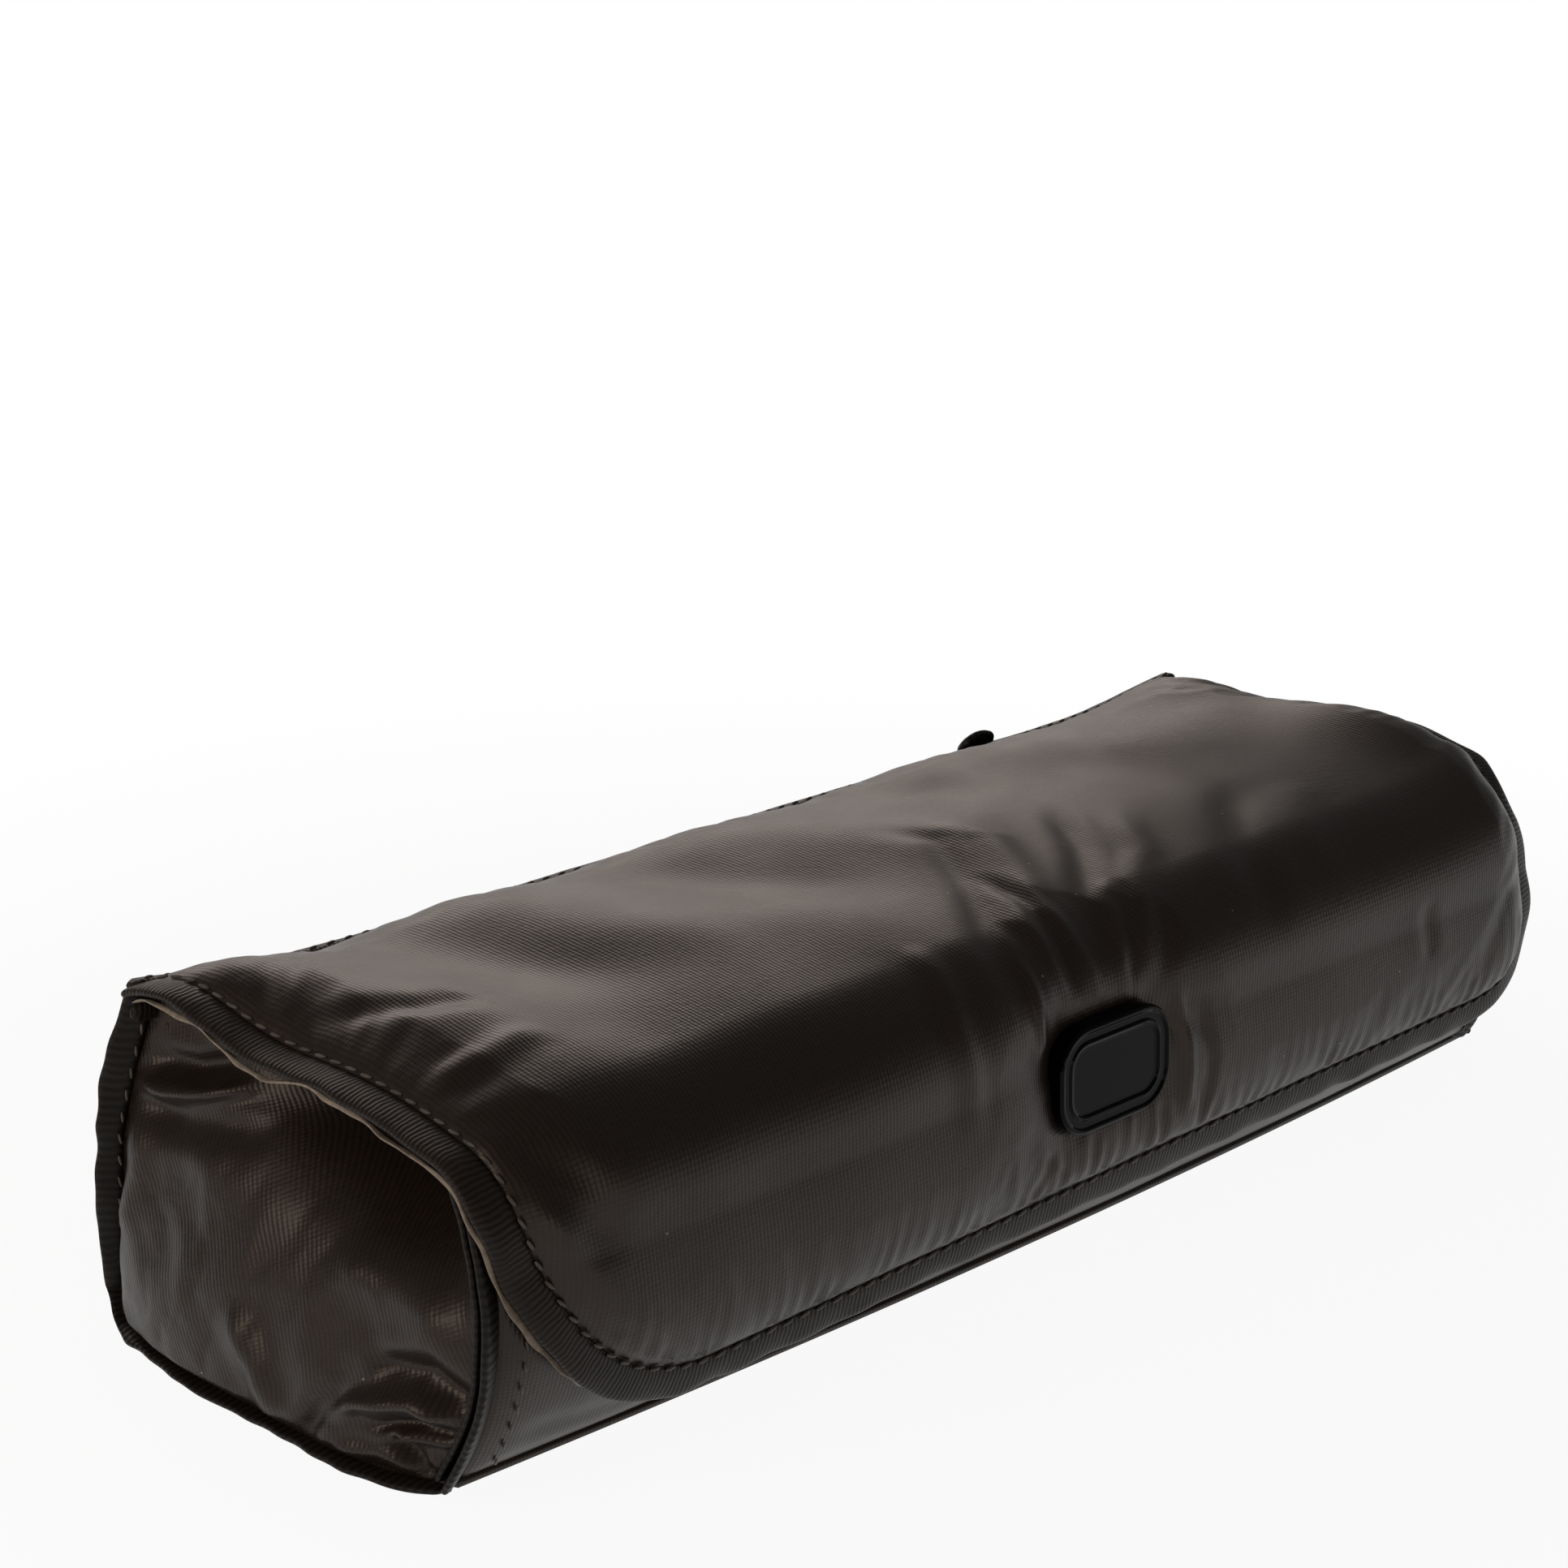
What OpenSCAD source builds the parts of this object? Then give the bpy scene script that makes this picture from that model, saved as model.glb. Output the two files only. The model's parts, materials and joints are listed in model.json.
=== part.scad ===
// Soft padded box case with a wrap-over flap.
// X runs along the length, -Y is the front, +Z is up.
// The origin is the middle of the bounding box, at ground level.

/* [Overall size] */
// Length from end to end
length = 200; // [150:1:260]
// Depth of the bottom panel from its front edge to its back edge
base_depth = 62; // [48:1:90]
// Height of the front wall's top edge above the ground
mouth_height = 41; // [34:1:56]

/* [Shape of the walls] */
// How far the front wall bows forward
wall_bow = 6.3; // [4:0.1:8]
// How far the front wall's top edge stands in front of its foot
wall_overhang = 2; // [0:0.5:4]
// How far the back wall bows backward
back_bow = 1.5; // [0.5:0.1:3]
// How far the back wall leans inward at its top
back_lean = 3; // [0:0.5:6]
// How far the gussets bow outward near the bottom
gusset_bow = 1; // [0.4:0.1:2]
// How far the gussets fold inward at the mouth
gusset_fold = 8; // [3:0.5:14]

/* [Shape of the flap] */
// How far the flap's front bows forward
flap_bow = 1.6; // [0.8:0.1:3]
// Outside radius of the fold between the flap's top and its front
fold_radius = 7; // [6:0.5:9]
// Radius of the flap's two lower corners
corner_radius = 32; // [12:1:33]
// Height of the flap's lower edge above the ground
flap_edge_height = 6; // [4:0.5:10]

/* [Cloth and padding] */
// Thickness of the twill cover, with its coating
cover_t = 0.8; // [0.5:0.1:1.2]
// Thickness of the lining
lining_t = 0.5; // [0.3:0.1:0.8]
// Thickness of the padding in the walls and the bottom
wall_foam_t = 2.2; // [1.8:0.1:3]
// Thickness of the padding in the flap
flap_foam_t = 1.9; // [1.6:0.1:2.4]
// Thickness of the stiffening board in the bottom
board_t = 1.2; // [0.8:0.1:2]
// Width of the binding tape on every free edge
binding_w = 5; // [3:0.5:7]
// Radius of the rolled seam that joins the flap to the back wall
roll_r = 1.6; // [1.3:0.1:2]

/* [Badge] */
// Length of the badge
badge_l = 20; // [14:1:28]
// Height of the badge
badge_h = 12.5; // [9:0.5:16]
// Corner radius of the badge
badge_r = 4.5; // [2:0.5:5]
// Thickness of the badge without its rims
badge_t = 1.7; // [1.2:0.1:2.5]
// Height of the badge's outer rim above its face
rim_h = 0.7; // [0.3:0.1:1]
// Depth that the badge is pressed into the cover
badge_press = 0.4; // [0.2:0.1:0.6]
// Height of the badge's middle above the ground
badge_z = 26.5; // [18:0.5:30]
// Radius of the two studs that hold the badge
stud_r = 0.9; // [0.6:0.1:1.2]

/* [Closure and tab] */
// Radius of the magnets and of their keepers
magnet_r = 4.5; // [3:0.5:6]
// Thickness of the magnets and of their keepers
magnet_t = 1.2; // [0.8:0.1:1.4]
// Distance between the two magnets
magnet_spacing = 96; // [60:1:130]
// Height of the magnets above the ground
magnet_z = 19; // [16:0.5:24]
// Width of the folded tab in the back seam
tab_w = 7; // [4:0.5:12]
// Length of the tab outside the seam
tab_l = 2.6; // [1.5:0.1:3]
// Place of the tab, to the right of the middle
tab_x = 51; // [-60:1:60]

/* [Clearances] */
// Gap between pieces that move past one another
move_gap = 0.3; // [0.2:0.05:0.5]
// Gap between the front wall and the flap that lies over it
flap_gap = 0.4; // [0.3:0.05:0.8]
// Gap around the rolled seam, where the back wall and the flap turn on it
roll_gap = 0.05; // [0.02:0.01:0.1]

/* [Hidden] */
$fn = 48;

cover_colour = "#2a2623";
binding_colour = "#161413";
lining_colour = "#4a4139";
foam_colour = "#cfc8ba";
board_colour = "#8d7a5c";
steel_colour = "#a8abae";
badge_colour = "#0c0c0d";

// Steps along each bowed wall and along the fold
bow_steps = 12;
fold_steps = 4;

// Layers, counted inward from the outer face
wall_t = cover_t + wall_foam_t + lining_t;
flap_t = cover_t + flap_foam_t + lining_t;
floor_z = cover_t + wall_foam_t + board_t + lining_t;
panel_half = length / 2 - binding_w;

// Front wall, from the middle of its foot's seam to the mouth
foot_z = cover_t + move_gap;
wall_top = [-wall_overhang, mouth_height];
wall_foot = [0, foot_z];
wall_middle = bow_centre(wall_top, wall_foot, wall_bow);
wall_radius = bow_radius(wall_top, wall_foot, wall_bow);
wall_arc = bow_length(wall_top, wall_foot, wall_bow);
mouth_share = binding_w / wall_arc;
foot_share = 1.16;
floor_start = crossing(wall_middle, wall_radius - wall_t, foot_z, -1) + move_gap;

// Flap: its top lies just over the mouth and its front just clears the wall
flap_low = mouth_height + flap_gap;
flap_high = flap_low + flap_t;
wall_crest_y = -wall_overhang / 2 - wall_bow;
flap_crest_y = wall_crest_y - flap_gap - flap_t;
fold_y = flap_crest_y + flap_bow + fold_radius;
fold_z = flap_high - fold_radius;
front_tilt = 2 * atan(2 * flap_bow / (fold_z - flap_edge_height));
front_top = [fold_y - fold_radius * cos(front_tilt), fold_z + fold_radius * sin(front_tilt)];
front_edge = [front_top.x, flap_edge_height];
front_middle = bow_centre(front_top, front_edge, flap_bow);
front_radius = bow_radius(front_top, front_edge, flap_bow);
// Angles around the fold where the two halves of the flap meet
mitre_angle = 135;
mitre_gap_angle = asin(move_gap / (fold_radius - flap_t)) * 0.9;
flap_front_path = concat(
    arc([fold_y, fold_z], fold_radius, mitre_angle + mitre_gap_angle, 180 - front_tilt, fold_steps),
    [for (i = [1 : bow_steps]) bow(front_top, front_edge, flap_bow)[i]]
);

// Back wall and the rolled seam that the flap turns on
roll_z = flap_low + flap_t / 2;
back_foot = [base_depth, cover_t];
back_top = [base_depth - back_lean, roll_z - flap_t / 2 - 2 * move_gap];
roll_y = back_top.x - cover_t / 2;
floor_end = base_depth - wall_t;
nose_h = roll_r * 0.45;
nose_y = roll_y - roll_r * 0.6;
wedge_y = roll_y - roll_r * 1.5;
seam_y = roll_y - 5;

// Gussets, from the floor up to the mouth, as X and Z
gusset_foot = [length / 2 - gusset_bow - 0.6, floor_z];
gusset_waist = [length / 2 - gusset_bow - 2.5, mouth_height * 0.6];
gusset_top = [length / 2 - 2 - gusset_fold, mouth_height - 2.5];
gusset_path = concat(bow(gusset_foot, gusset_waist, gusset_bow), [gusset_top]);

// Tab: two plies of tape, leaning forward out of the seam
tab_t = 0.8;
tab_angle = 130;

// Badge fixing
stud_spacing = badge_l / 2;
plate_l = badge_l * 0.7;
plate_h = badge_h * 0.55;
plate_t = 0.5;
plate_depth = cover_t + flap_foam_t - plate_t - 0.1;
inner_rim_h = rim_h * 0.6;
rim_w = 1.2;

// Middle of the whole depth, which the frame is centred on
back_crest_y = max([for (p = back_arc(0)) p.x]);
badge_tilt = asin((badge_z - front_middle.y) / front_radius);
badge_front_y = front_middle.x - badge_h / 2 * abs(sin(badge_tilt))
    - (front_radius + badge_t + rim_h - badge_press) * cos(badge_tilt);
middle_y = (back_crest_y + badge_front_y) / 2;

function unit(v) = v / norm(v);
function left_of(v) = [-v.y, v.x];
function right_of(v) = [v.y, -v.x];
function reversed(list) = [for (i = [len(list) - 1 : -1 : 0]) list[i]];

function arc(centre, radius, from, to, steps) = [
    for (i = [0 : steps]) let (a = from + (to - from) * i / steps)
        centre + radius * [cos(a), sin(a)]
];

// A bow from p to q that bulges to the right of travel by the given sagitta.
// Depth moves it toward its centre; from and to are shares of its length.
function bow_radius(p, q, sagitta) = (norm(q - p) ^ 2 / 4 + sagitta ^ 2) / (2 * sagitta);
function bow_half_angle(p, q, sagitta) = asin(norm(q - p) / 2 / bow_radius(p, q, sagitta));
function bow_length(p, q, sagitta) =
    bow_radius(p, q, sagitta) * 2 * bow_half_angle(p, q, sagitta) * PI / 180;
function bow_centre(p, q, sagitta) =
    (p + q) / 2 + right_of(unit(q - p)) * (sagitta - bow_radius(p, q, sagitta));
function bow(p, q, sagitta, depth = 0, from = 0, to = 1) = [
    let (
        u = unit(q - p),
        r = bow_radius(p, q, sagitta) - depth,
        half = bow_half_angle(p, q, sagitta)
    )
    for (i = [0 : bow_steps]) let (a = half * (2 * (from + (to - from) * i / bow_steps) - 1))
        bow_centre(p, q, sagitta) + r * (right_of(u) * cos(a) + u * sin(a))
];

function back_arc(depth) = bow(back_foot, back_top, back_bow, depth);

// Where a bowed face crosses a height: in front of its centre or behind it
function crossing(middle, radius, z, side) =
    middle.x + side * sqrt(radius ^ 2 - (z - middle.y) ^ 2);

// The path moved to the left of travel, with mitred corners
function inset(path, depth) = [
    for (i = [0 : len(path) - 1]) let (
        last = len(path) - 1,
        before = unit(i == 0 ? path[1] - path[0] : path[i] - path[i - 1]),
        after = unit(i == last ? path[last] - path[last - 1] : path[i + 1] - path[i]),
        normal = unit(left_of(before + after))
    ) path[i] + normal * depth / (normal * left_of(before))
];

module layer(outer, inner) {
    polygon(concat(outer, reversed(inner)));
}

module strip(path, from, to) {
    layer(inset(path, from), inset(path, to));
}

// Extrudes a section drawn in Y and Z along X, and centres it in the depth
module along_x(from, to) {
    translate([from, -middle_y, 0])
        rotate([90, 0, 90])
            linear_extrude(height = to - from)
                children();
}

// Extrudes an outline drawn in X and Z along Y, all the way through
module through_y() {
    reach = base_depth * 2;
    translate([0, reach, 0])
        rotate([90, 0, 0])
            linear_extrude(height = reach * 2)
                children();
}

// A frame on a bowed face at height z, with its own Z pointing out of the face
module on_face(x, z, middle, radius) {
    tilt = asin((z - middle.y) / radius);
    translate([x, middle.x - radius * cos(tilt) - middle_y, z])
        rotate([90 - tilt, 0, 0])
            children();
}

module on_flap(x, z) {
    on_face(x, z, front_middle, front_radius) children();
}

module on_wall(x, z) {
    on_face(x, z, wall_middle, wall_radius) children();
}

module rounded(l, h, r) {
    square([l - 2 * r, h], center = true);
    square([l, h - 2 * r], center = true);
    for (x = [-1, 1], y = [-1, 1])
        translate([x * (l / 2 - r), y * (h / 2 - r)])
            circle(r);
}

module disc_pair(depth) {
    for (side = [-1, 1])
        translate([side * magnet_spacing / 2, 0, 0])
            translate([0, 0, -depth - magnet_t])
                cylinder(r = magnet_r, h = magnet_t);
}

// Layers of the bottom, from its cover up
module floor_slab(low, thickness) {
    translate([-panel_half, floor_start - middle_y, low])
        cube([2 * panel_half, floor_end - floor_start, thickness]);
}

module bottom_cover() {
    color(cover_colour)
        translate([-panel_half, -middle_y, 0])
            cube([2 * panel_half, base_depth, cover_t]);
}

module bottom_foam() {
    color(foam_colour) floor_slab(cover_t, wall_foam_t);
}

module bottom_board() {
    color(board_colour) floor_slab(cover_t + wall_foam_t, board_t);
}

module bottom_lining() {
    color(lining_colour) floor_slab(floor_z - lining_t, lining_t);
}

// Back wall
module back_layer(from, to) {
    along_x(-panel_half, panel_half) layer(back_arc(from), back_arc(to));
}

module roll_space(extra) {
    translate([-length, roll_y - middle_y, roll_z])
        rotate([0, 90, 0])
            cylinder(r = roll_r + extra, h = 2 * length);
}

module back_cover() {
    color(cover_colour) {
        back_layer(0, cover_t);
        // The seam tongue that rises to the rolled seam
        difference() {
            along_x(-panel_half, panel_half)
                polygon([
                    back_top, [back_top.x, roll_z], [back_top.x - cover_t, roll_z],
                    back_arc(cover_t)[bow_steps]
                ]);
            roll_space(roll_gap);
        }
    }
}

module back_foam() {
    color(foam_colour) back_layer(cover_t, cover_t + wall_foam_t);
}

module back_lining() {
    color(lining_colour) back_layer(cover_t + wall_foam_t, wall_t);
}

// Gussets, cut to the space between the walls
module above_floor(low) {
    translate([-base_depth, low]) square([3 * base_depth, 2 * mouth_height]);
}

module inner_space() {
    front = bow(wall_top, wall_foot, wall_bow, wall_t + move_gap);
    along_x(-length, length)
        intersection() {
            polygon(concat(front, back_arc(wall_t)));
            above_floor(floor_z);
        }
}

module gusset_layer(from, to) {
    intersection() {
        inner_space();
        through_y() strip(gusset_path, from, to);
    }
}

module right_gusset() {
    color(cover_colour) gusset_layer(0, cover_t);
}

module left_gusset() {
    mirror([1, 0, 0]) right_gusset();
}

module right_gusset_lining() {
    color(lining_colour) gusset_layer(cover_t, cover_t + lining_t);
}

module left_gusset_lining() {
    mirror([1, 0, 0]) right_gusset_lining();
}

// Tape around the end of the bottom and of the back wall
module right_end_binding() {
    inner = back_arc(wall_t);
    inner_top = inner[bow_steps];
    color(binding_colour)
        along_x(panel_half, length / 2)
            difference() {
                polygon(concat(
                    [[0, cover_t], [0, 0], [base_depth, 0]], back_arc(0),
                    [inner_top, [floor_start, inner_top.y], [floor_start, cover_t]]
                ));
                intersection() {
                    polygon(concat(
                        inner,
                        [inner_top + [0, 1], [-base_depth, inner_top.y + 1], [-base_depth, inner[0].y]]
                    ));
                    above_floor(floor_z);
                }
            }
}

module left_end_binding() {
    mirror([1, 0, 0]) right_end_binding();
}

// Front wall, which tips forward about its foot
module wall_layer(from, to, start, end, low, high) {
    along_x(low, high)
        intersection() {
            layer(
                bow(wall_top, wall_foot, wall_bow, from, start, end),
                bow(wall_top, wall_foot, wall_bow, to, start, end)
            );
            above_floor(foot_z);
        }
}

module keeper_discs() {
    on_wall(0, magnet_z) disc_pair(cover_t + (wall_foam_t - magnet_t) / 2);
}

module front_cover() {
    color(cover_colour) wall_layer(0, cover_t, mouth_share, foot_share, -panel_half, panel_half);
}

module front_foam() {
    color(foam_colour)
        difference() {
            wall_layer(cover_t, cover_t + wall_foam_t, mouth_share, foot_share,
                       -panel_half, panel_half);
            keeper_discs();
        }
}

module front_lining() {
    color(lining_colour)
        wall_layer(cover_t + wall_foam_t, wall_t, mouth_share, foot_share, -panel_half, panel_half);
}

module mouth_binding() {
    color(binding_colour) wall_layer(0, wall_t, 0, mouth_share, -panel_half, panel_half);
}

module front_right_binding() {
    color(binding_colour) wall_layer(0, wall_t, 0, foot_share, panel_half, length / 2);
}

module front_left_binding() {
    mirror([1, 0, 0]) front_right_binding();
}

module front_keepers() {
    color(steel_colour) keeper_discs();
}

// Rolled seam and its tab
module back_seam_roll() {
    color(binding_colour)
        intersection() {
            roll_space(0);
            translate([-length / 2, -base_depth * 2, 0]) cube([length, base_depth * 4, flap_high * 2]);
        }
}

module back_seam_tab() {
    color(binding_colour)
        translate([tab_x, roll_y - middle_y, roll_z])
            rotate([tab_angle - 90, 0, 0])
                difference() {
                    translate([-tab_w / 2, -tab_t / 2, 0]) cube([tab_w, tab_t, roll_r + tab_l]);
                    translate([-tab_w, 0, 0]) rotate([0, 90, 0]) cylinder(r = roll_r, h = 2 * tab_w);
                }
}

// Top of the flap, from the rolled seam to the fold
function fold_arc(depth) =
    arc([fold_y, fold_z], fold_radius - depth, 90, mitre_angle, fold_steps);

module flap_top_layer(low, high) {
    difference() {
        along_x(low, high) children();
        roll_space(roll_gap);
    }
}

module flap_top_cover() {
    inside = cover_t;
    color(cover_colour)
        flap_top_layer(-panel_half, panel_half)
            polygon(concat(
                [[nose_y, roll_z], [nose_y, roll_z + nose_h], [seam_y, flap_high]],
                fold_arc(0), reversed(fold_arc(inside)),
                [[seam_y, flap_high - inside], [wedge_y, roll_z]]
            ));
}

module flap_top_foam() {
    outside = cover_t;
    inside = cover_t + flap_foam_t;
    color(foam_colour)
        flap_top_layer(-panel_half, panel_half)
            polygon(concat(
                [[wedge_y, roll_z], [seam_y, flap_high - outside]],
                fold_arc(outside), reversed(fold_arc(inside)),
                [[seam_y, flap_high - inside]]
            ));
}

module flap_top_lining() {
    outside = cover_t + flap_foam_t;
    color(lining_colour)
        flap_top_layer(-panel_half, panel_half)
            polygon(concat(
                [[nose_y, roll_z], [wedge_y, roll_z], [seam_y, flap_high - outside]],
                fold_arc(outside), reversed(fold_arc(flap_t)),
                [[seam_y, flap_low], [nose_y, roll_z - nose_h]]
            ));
}

module flap_top_right_binding() {
    color(binding_colour)
        flap_top_layer(panel_half, length / 2)
            polygon(concat(
                [[nose_y, roll_z - nose_h], [nose_y, roll_z + nose_h], [seam_y, flap_high]],
                fold_arc(0), reversed(fold_arc(flap_t)),
                [[seam_y, flap_low]]
            ));
}

module flap_top_left_binding() {
    mirror([1, 0, 0]) flap_top_right_binding();
}

// Front of the flap, from the fold to its rounded lower edge
module flap_outline(margin) {
    side = length / 2 - margin;
    corner = corner_radius - margin;
    corner_z = flap_edge_height + corner_radius;
    corner_x = length / 2 - corner_radius;
    polygon(concat(
        arc([-corner_x, corner_z], corner, 180, 270, bow_steps),
        arc([corner_x, corner_z], corner, 270, 360, bow_steps),
        [[side, flap_high * 2], [-side, flap_high * 2]]
    ));
}

module flap_front_layer(from, to) {
    intersection() {
        along_x(-length / 2, length / 2) strip(flap_front_path, from, to);
        through_y() flap_outline(binding_w);
    }
}

module badge_seat() {
    on_flap(0, badge_z)
        translate([0, 0, -badge_press])
            linear_extrude(height = 2 * badge_press + cover_t)
                rounded(badge_l, badge_h, badge_r);
}

module studs() {
    on_flap(0, badge_z)
        for (side = [-1, 1])
            translate([side * stud_spacing / 2, 0, -plate_depth])
                cylinder(r = stud_r, h = plate_depth - badge_press);
}

module backplate() {
    on_flap(0, badge_z)
        translate([0, 0, -plate_depth - plate_t])
            linear_extrude(height = plate_t)
                rounded(plate_l, plate_h, plate_h / 4);
}

module magnet_discs() {
    on_flap(0, magnet_z) disc_pair(cover_t + (flap_foam_t - magnet_t) / 2);
}

module flap_front_cover() {
    color(cover_colour)
        difference() {
            flap_front_layer(0, cover_t);
            badge_seat();
            studs();
        }
}

module flap_front_foam() {
    color(foam_colour)
        difference() {
            flap_front_layer(cover_t, cover_t + flap_foam_t);
            studs();
            backplate();
            magnet_discs();
        }
}

module flap_front_lining() {
    color(lining_colour) flap_front_layer(cover_t + flap_foam_t, flap_t);
}

module flap_edge_binding() {
    color(binding_colour)
        intersection() {
            along_x(-length / 2, length / 2) strip(flap_front_path, 0, flap_t);
            through_y()
                difference() {
                    flap_outline(0);
                    flap_outline(binding_w);
                }
        }
}

module flap_magnets() {
    color(steel_colour) magnet_discs();
}

// Badge: a bare face inside two raised rims
module badge() {
    face = badge_t - badge_press;
    color(badge_colour)
        on_flap(0, badge_z) {
            translate([0, 0, -badge_press])
                linear_extrude(height = badge_t)
                    rounded(badge_l, badge_h, badge_r);
            badge_rim(face, 0, rim_w, rim_h);
            badge_rim(face, 2 * rim_w, rim_w / 2, inner_rim_h);
        }
}

module badge_rim(face, margin, width, height) {
    outer = 2 * margin;
    inner = 2 * (margin + width);
    translate([0, 0, face])
        linear_extrude(height = height)
            difference() {
                rounded(badge_l - outer, badge_h - outer, badge_r - margin);
                rounded(badge_l - inner, badge_h - inner, badge_r - margin - width);
            }
}

module badge_studs() {
    color(steel_colour) studs();
}

module badge_backplate() {
    color(steel_colour) backplate();
}

bottom_cover();
bottom_foam();
bottom_board();
bottom_lining();
back_cover();
back_foam();
back_lining();
left_gusset();
right_gusset();
left_gusset_lining();
right_gusset_lining();
left_end_binding();
right_end_binding();
front_cover();
front_foam();
front_lining();
mouth_binding();
front_left_binding();
front_right_binding();
front_keepers();
back_seam_roll();
back_seam_tab();
flap_top_cover();
flap_top_foam();
flap_top_lining();
flap_top_left_binding();
flap_top_right_binding();
flap_front_cover();
flap_front_foam();
flap_front_lining();
flap_edge_binding();
flap_magnets();
badge();
badge_studs();
badge_backplate();
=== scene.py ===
import json
import math

import bmesh
import bpy
import numpy as np
from mathutils import Matrix, Vector


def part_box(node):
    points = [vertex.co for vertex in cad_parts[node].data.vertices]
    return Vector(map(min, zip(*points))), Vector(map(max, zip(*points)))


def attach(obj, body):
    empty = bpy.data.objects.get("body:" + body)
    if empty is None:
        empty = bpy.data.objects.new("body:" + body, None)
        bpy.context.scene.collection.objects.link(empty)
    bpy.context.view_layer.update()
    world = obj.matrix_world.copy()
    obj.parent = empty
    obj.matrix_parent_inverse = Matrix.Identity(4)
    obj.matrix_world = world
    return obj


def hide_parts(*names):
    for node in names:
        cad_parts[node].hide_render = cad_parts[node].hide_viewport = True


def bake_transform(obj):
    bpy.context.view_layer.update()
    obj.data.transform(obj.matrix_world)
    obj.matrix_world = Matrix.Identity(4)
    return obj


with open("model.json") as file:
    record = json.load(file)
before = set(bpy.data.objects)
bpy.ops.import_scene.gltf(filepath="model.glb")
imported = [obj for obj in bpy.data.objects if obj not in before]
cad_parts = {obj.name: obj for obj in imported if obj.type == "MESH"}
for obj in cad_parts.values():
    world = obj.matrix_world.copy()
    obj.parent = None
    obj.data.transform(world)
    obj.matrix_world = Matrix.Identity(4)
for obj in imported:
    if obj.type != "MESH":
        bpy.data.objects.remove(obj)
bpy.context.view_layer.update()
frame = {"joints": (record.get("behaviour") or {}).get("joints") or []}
scene = bpy.context.scene
mm = 0.001


def boxMm(node):
    low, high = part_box(node)
    return np.array(low) / mm, np.array(high) / mm


# Places taken from the frame, in millimetres
halfLength = boxMm("right_end_binding")[1][0]
tapeWidth = halfLength - boxMm("bottom_cover")[1][0]
footY = boxMm("bottom_cover")[0][1]
backY = boxMm("bottom_cover")[1][1]
floorTop = boxMm("bottom_lining")[1][2]
rollLow, rollHigh = boxMm("back_seam_roll")
rollCentre = (rollLow + rollHigh) / 2
flapTopZ = boxMm("flap_top_cover")[1][2]
flapFrontY, flapEdgeZ = boxMm("flap_edge_binding")[0][1:]
mouthZ = boxMm("mouth_binding")[1][2]
backTopZ = boxMm("back_foam")[1][2]
badgeCentre = sum(boxMm("badge")) / 2
tabCentre = sum(boxMm("back_seam_tab")) / 2
joints = {j["name"]: j for j in frame["joints"]}
tipAxis = np.array(joints["front_wall_tip"]["pos_m"]) / mm


# Camera
cameraSet = {
    "lens": 80.65,
    "place": (-322.4, -292.0, 196.7),
    "yaw": 45.74,
    "pitch": 18.0,
    "roll": 1.09,
}


def makeCamera(s):
    yaw, pitch, roll = (math.radians(s[k]) for k in ("yaw", "pitch", "roll"))
    forward = Vector((math.sin(yaw) * math.cos(pitch), math.cos(yaw) * math.cos(pitch), -math.sin(pitch)))
    flat = Vector((math.cos(yaw), -math.sin(yaw), 0))
    up = flat.cross(forward)
    right = math.cos(roll) * flat + math.sin(roll) * up
    up = -math.sin(roll) * flat + math.cos(roll) * up
    data = bpy.data.cameras.new("camera")
    data.lens = s["lens"]
    data.sensor_width = 36
    data.clip_start = 0.01
    camera = bpy.data.objects.new("camera", data)
    camera.matrix_world = Matrix.Translation(Vector(s["place"]) * mm) @ Matrix(
        (right, up, -forward)
    ).transposed().to_4x4()
    scene.collection.objects.link(camera)
    scene.camera = camera


makeCamera(cameraSet)
scene.view_settings.view_transform = "Standard"
print("stage: camera")


# Materials
def linear(hexColour):
    channels = [int(hexColour[i : i + 2], 16) / 255 for i in (1, 3, 5)]
    return tuple(c / 12.92 if c <= 0.04045 else ((c + 0.055) / 1.055) ** 2.4 for c in channels) + (1,)


def addNode(tree, kind, values=None, links=None, **settings):
    node = tree.nodes.new(kind)
    for key, value in settings.items():
        setattr(node, key, value)
    for key, value in (values or {}).items():
        node.inputs[key].default_value = value
    for key, socket in (links or {}).items():
        tree.links.new(socket, node.inputs[key])
    return node


def startMaterial(name, **shader):
    material = bpy.data.materials.new(name)
    material.use_nodes = True
    tree = material.node_tree
    tree.nodes.clear()
    principled = addNode(tree, "ShaderNodeBsdfPrincipled", shader)
    output = addNode(tree, "ShaderNodeOutputMaterial")
    tree.links.new(principled.outputs["BSDF"], output.inputs["Surface"])
    return material, tree, principled


def wave(tree, coordinate, pitch):  # a sine from 0 to 1 with one crest each pitch, in metres
    turn = addNode(tree, "ShaderNodeMath", {1: 2 * math.pi / pitch}, {0: coordinate}, operation="MULTIPLY")
    sine = addNode(tree, "ShaderNodeMath", links={0: turn.outputs[0]}, operation="SINE")
    half = addNode(tree, "ShaderNodeMath", {1: 0.5, 2: 0.5}, {0: sine.outputs[0]}, operation="MULTIPLY_ADD")
    return half.outputs[0]


def blendColours(tree, factor, low, high):
    mix = addNode(tree, "ShaderNodeMix", data_type="RGBA", links={"Factor": factor})
    for socket, colour in ((6, low), (7, high)):
        if isinstance(colour, tuple):
            mix.inputs[socket].default_value = colour
        else:
            tree.links.new(colour, mix.inputs[socket])
    return mix.outputs[2]


# Coated nylon twill: fine warp ribs across the case, finer weft across them, a satin sheen
twillSet = {
    "ribPitch": 0.00058,
    "weftPitch": 0.00054,
    "ribDepth": 0.00005,
    "dark": "#0c0908",
    "light": "#342922",
    "roughLow": 0.34,
    "roughHigh": 0.46,
}


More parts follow.
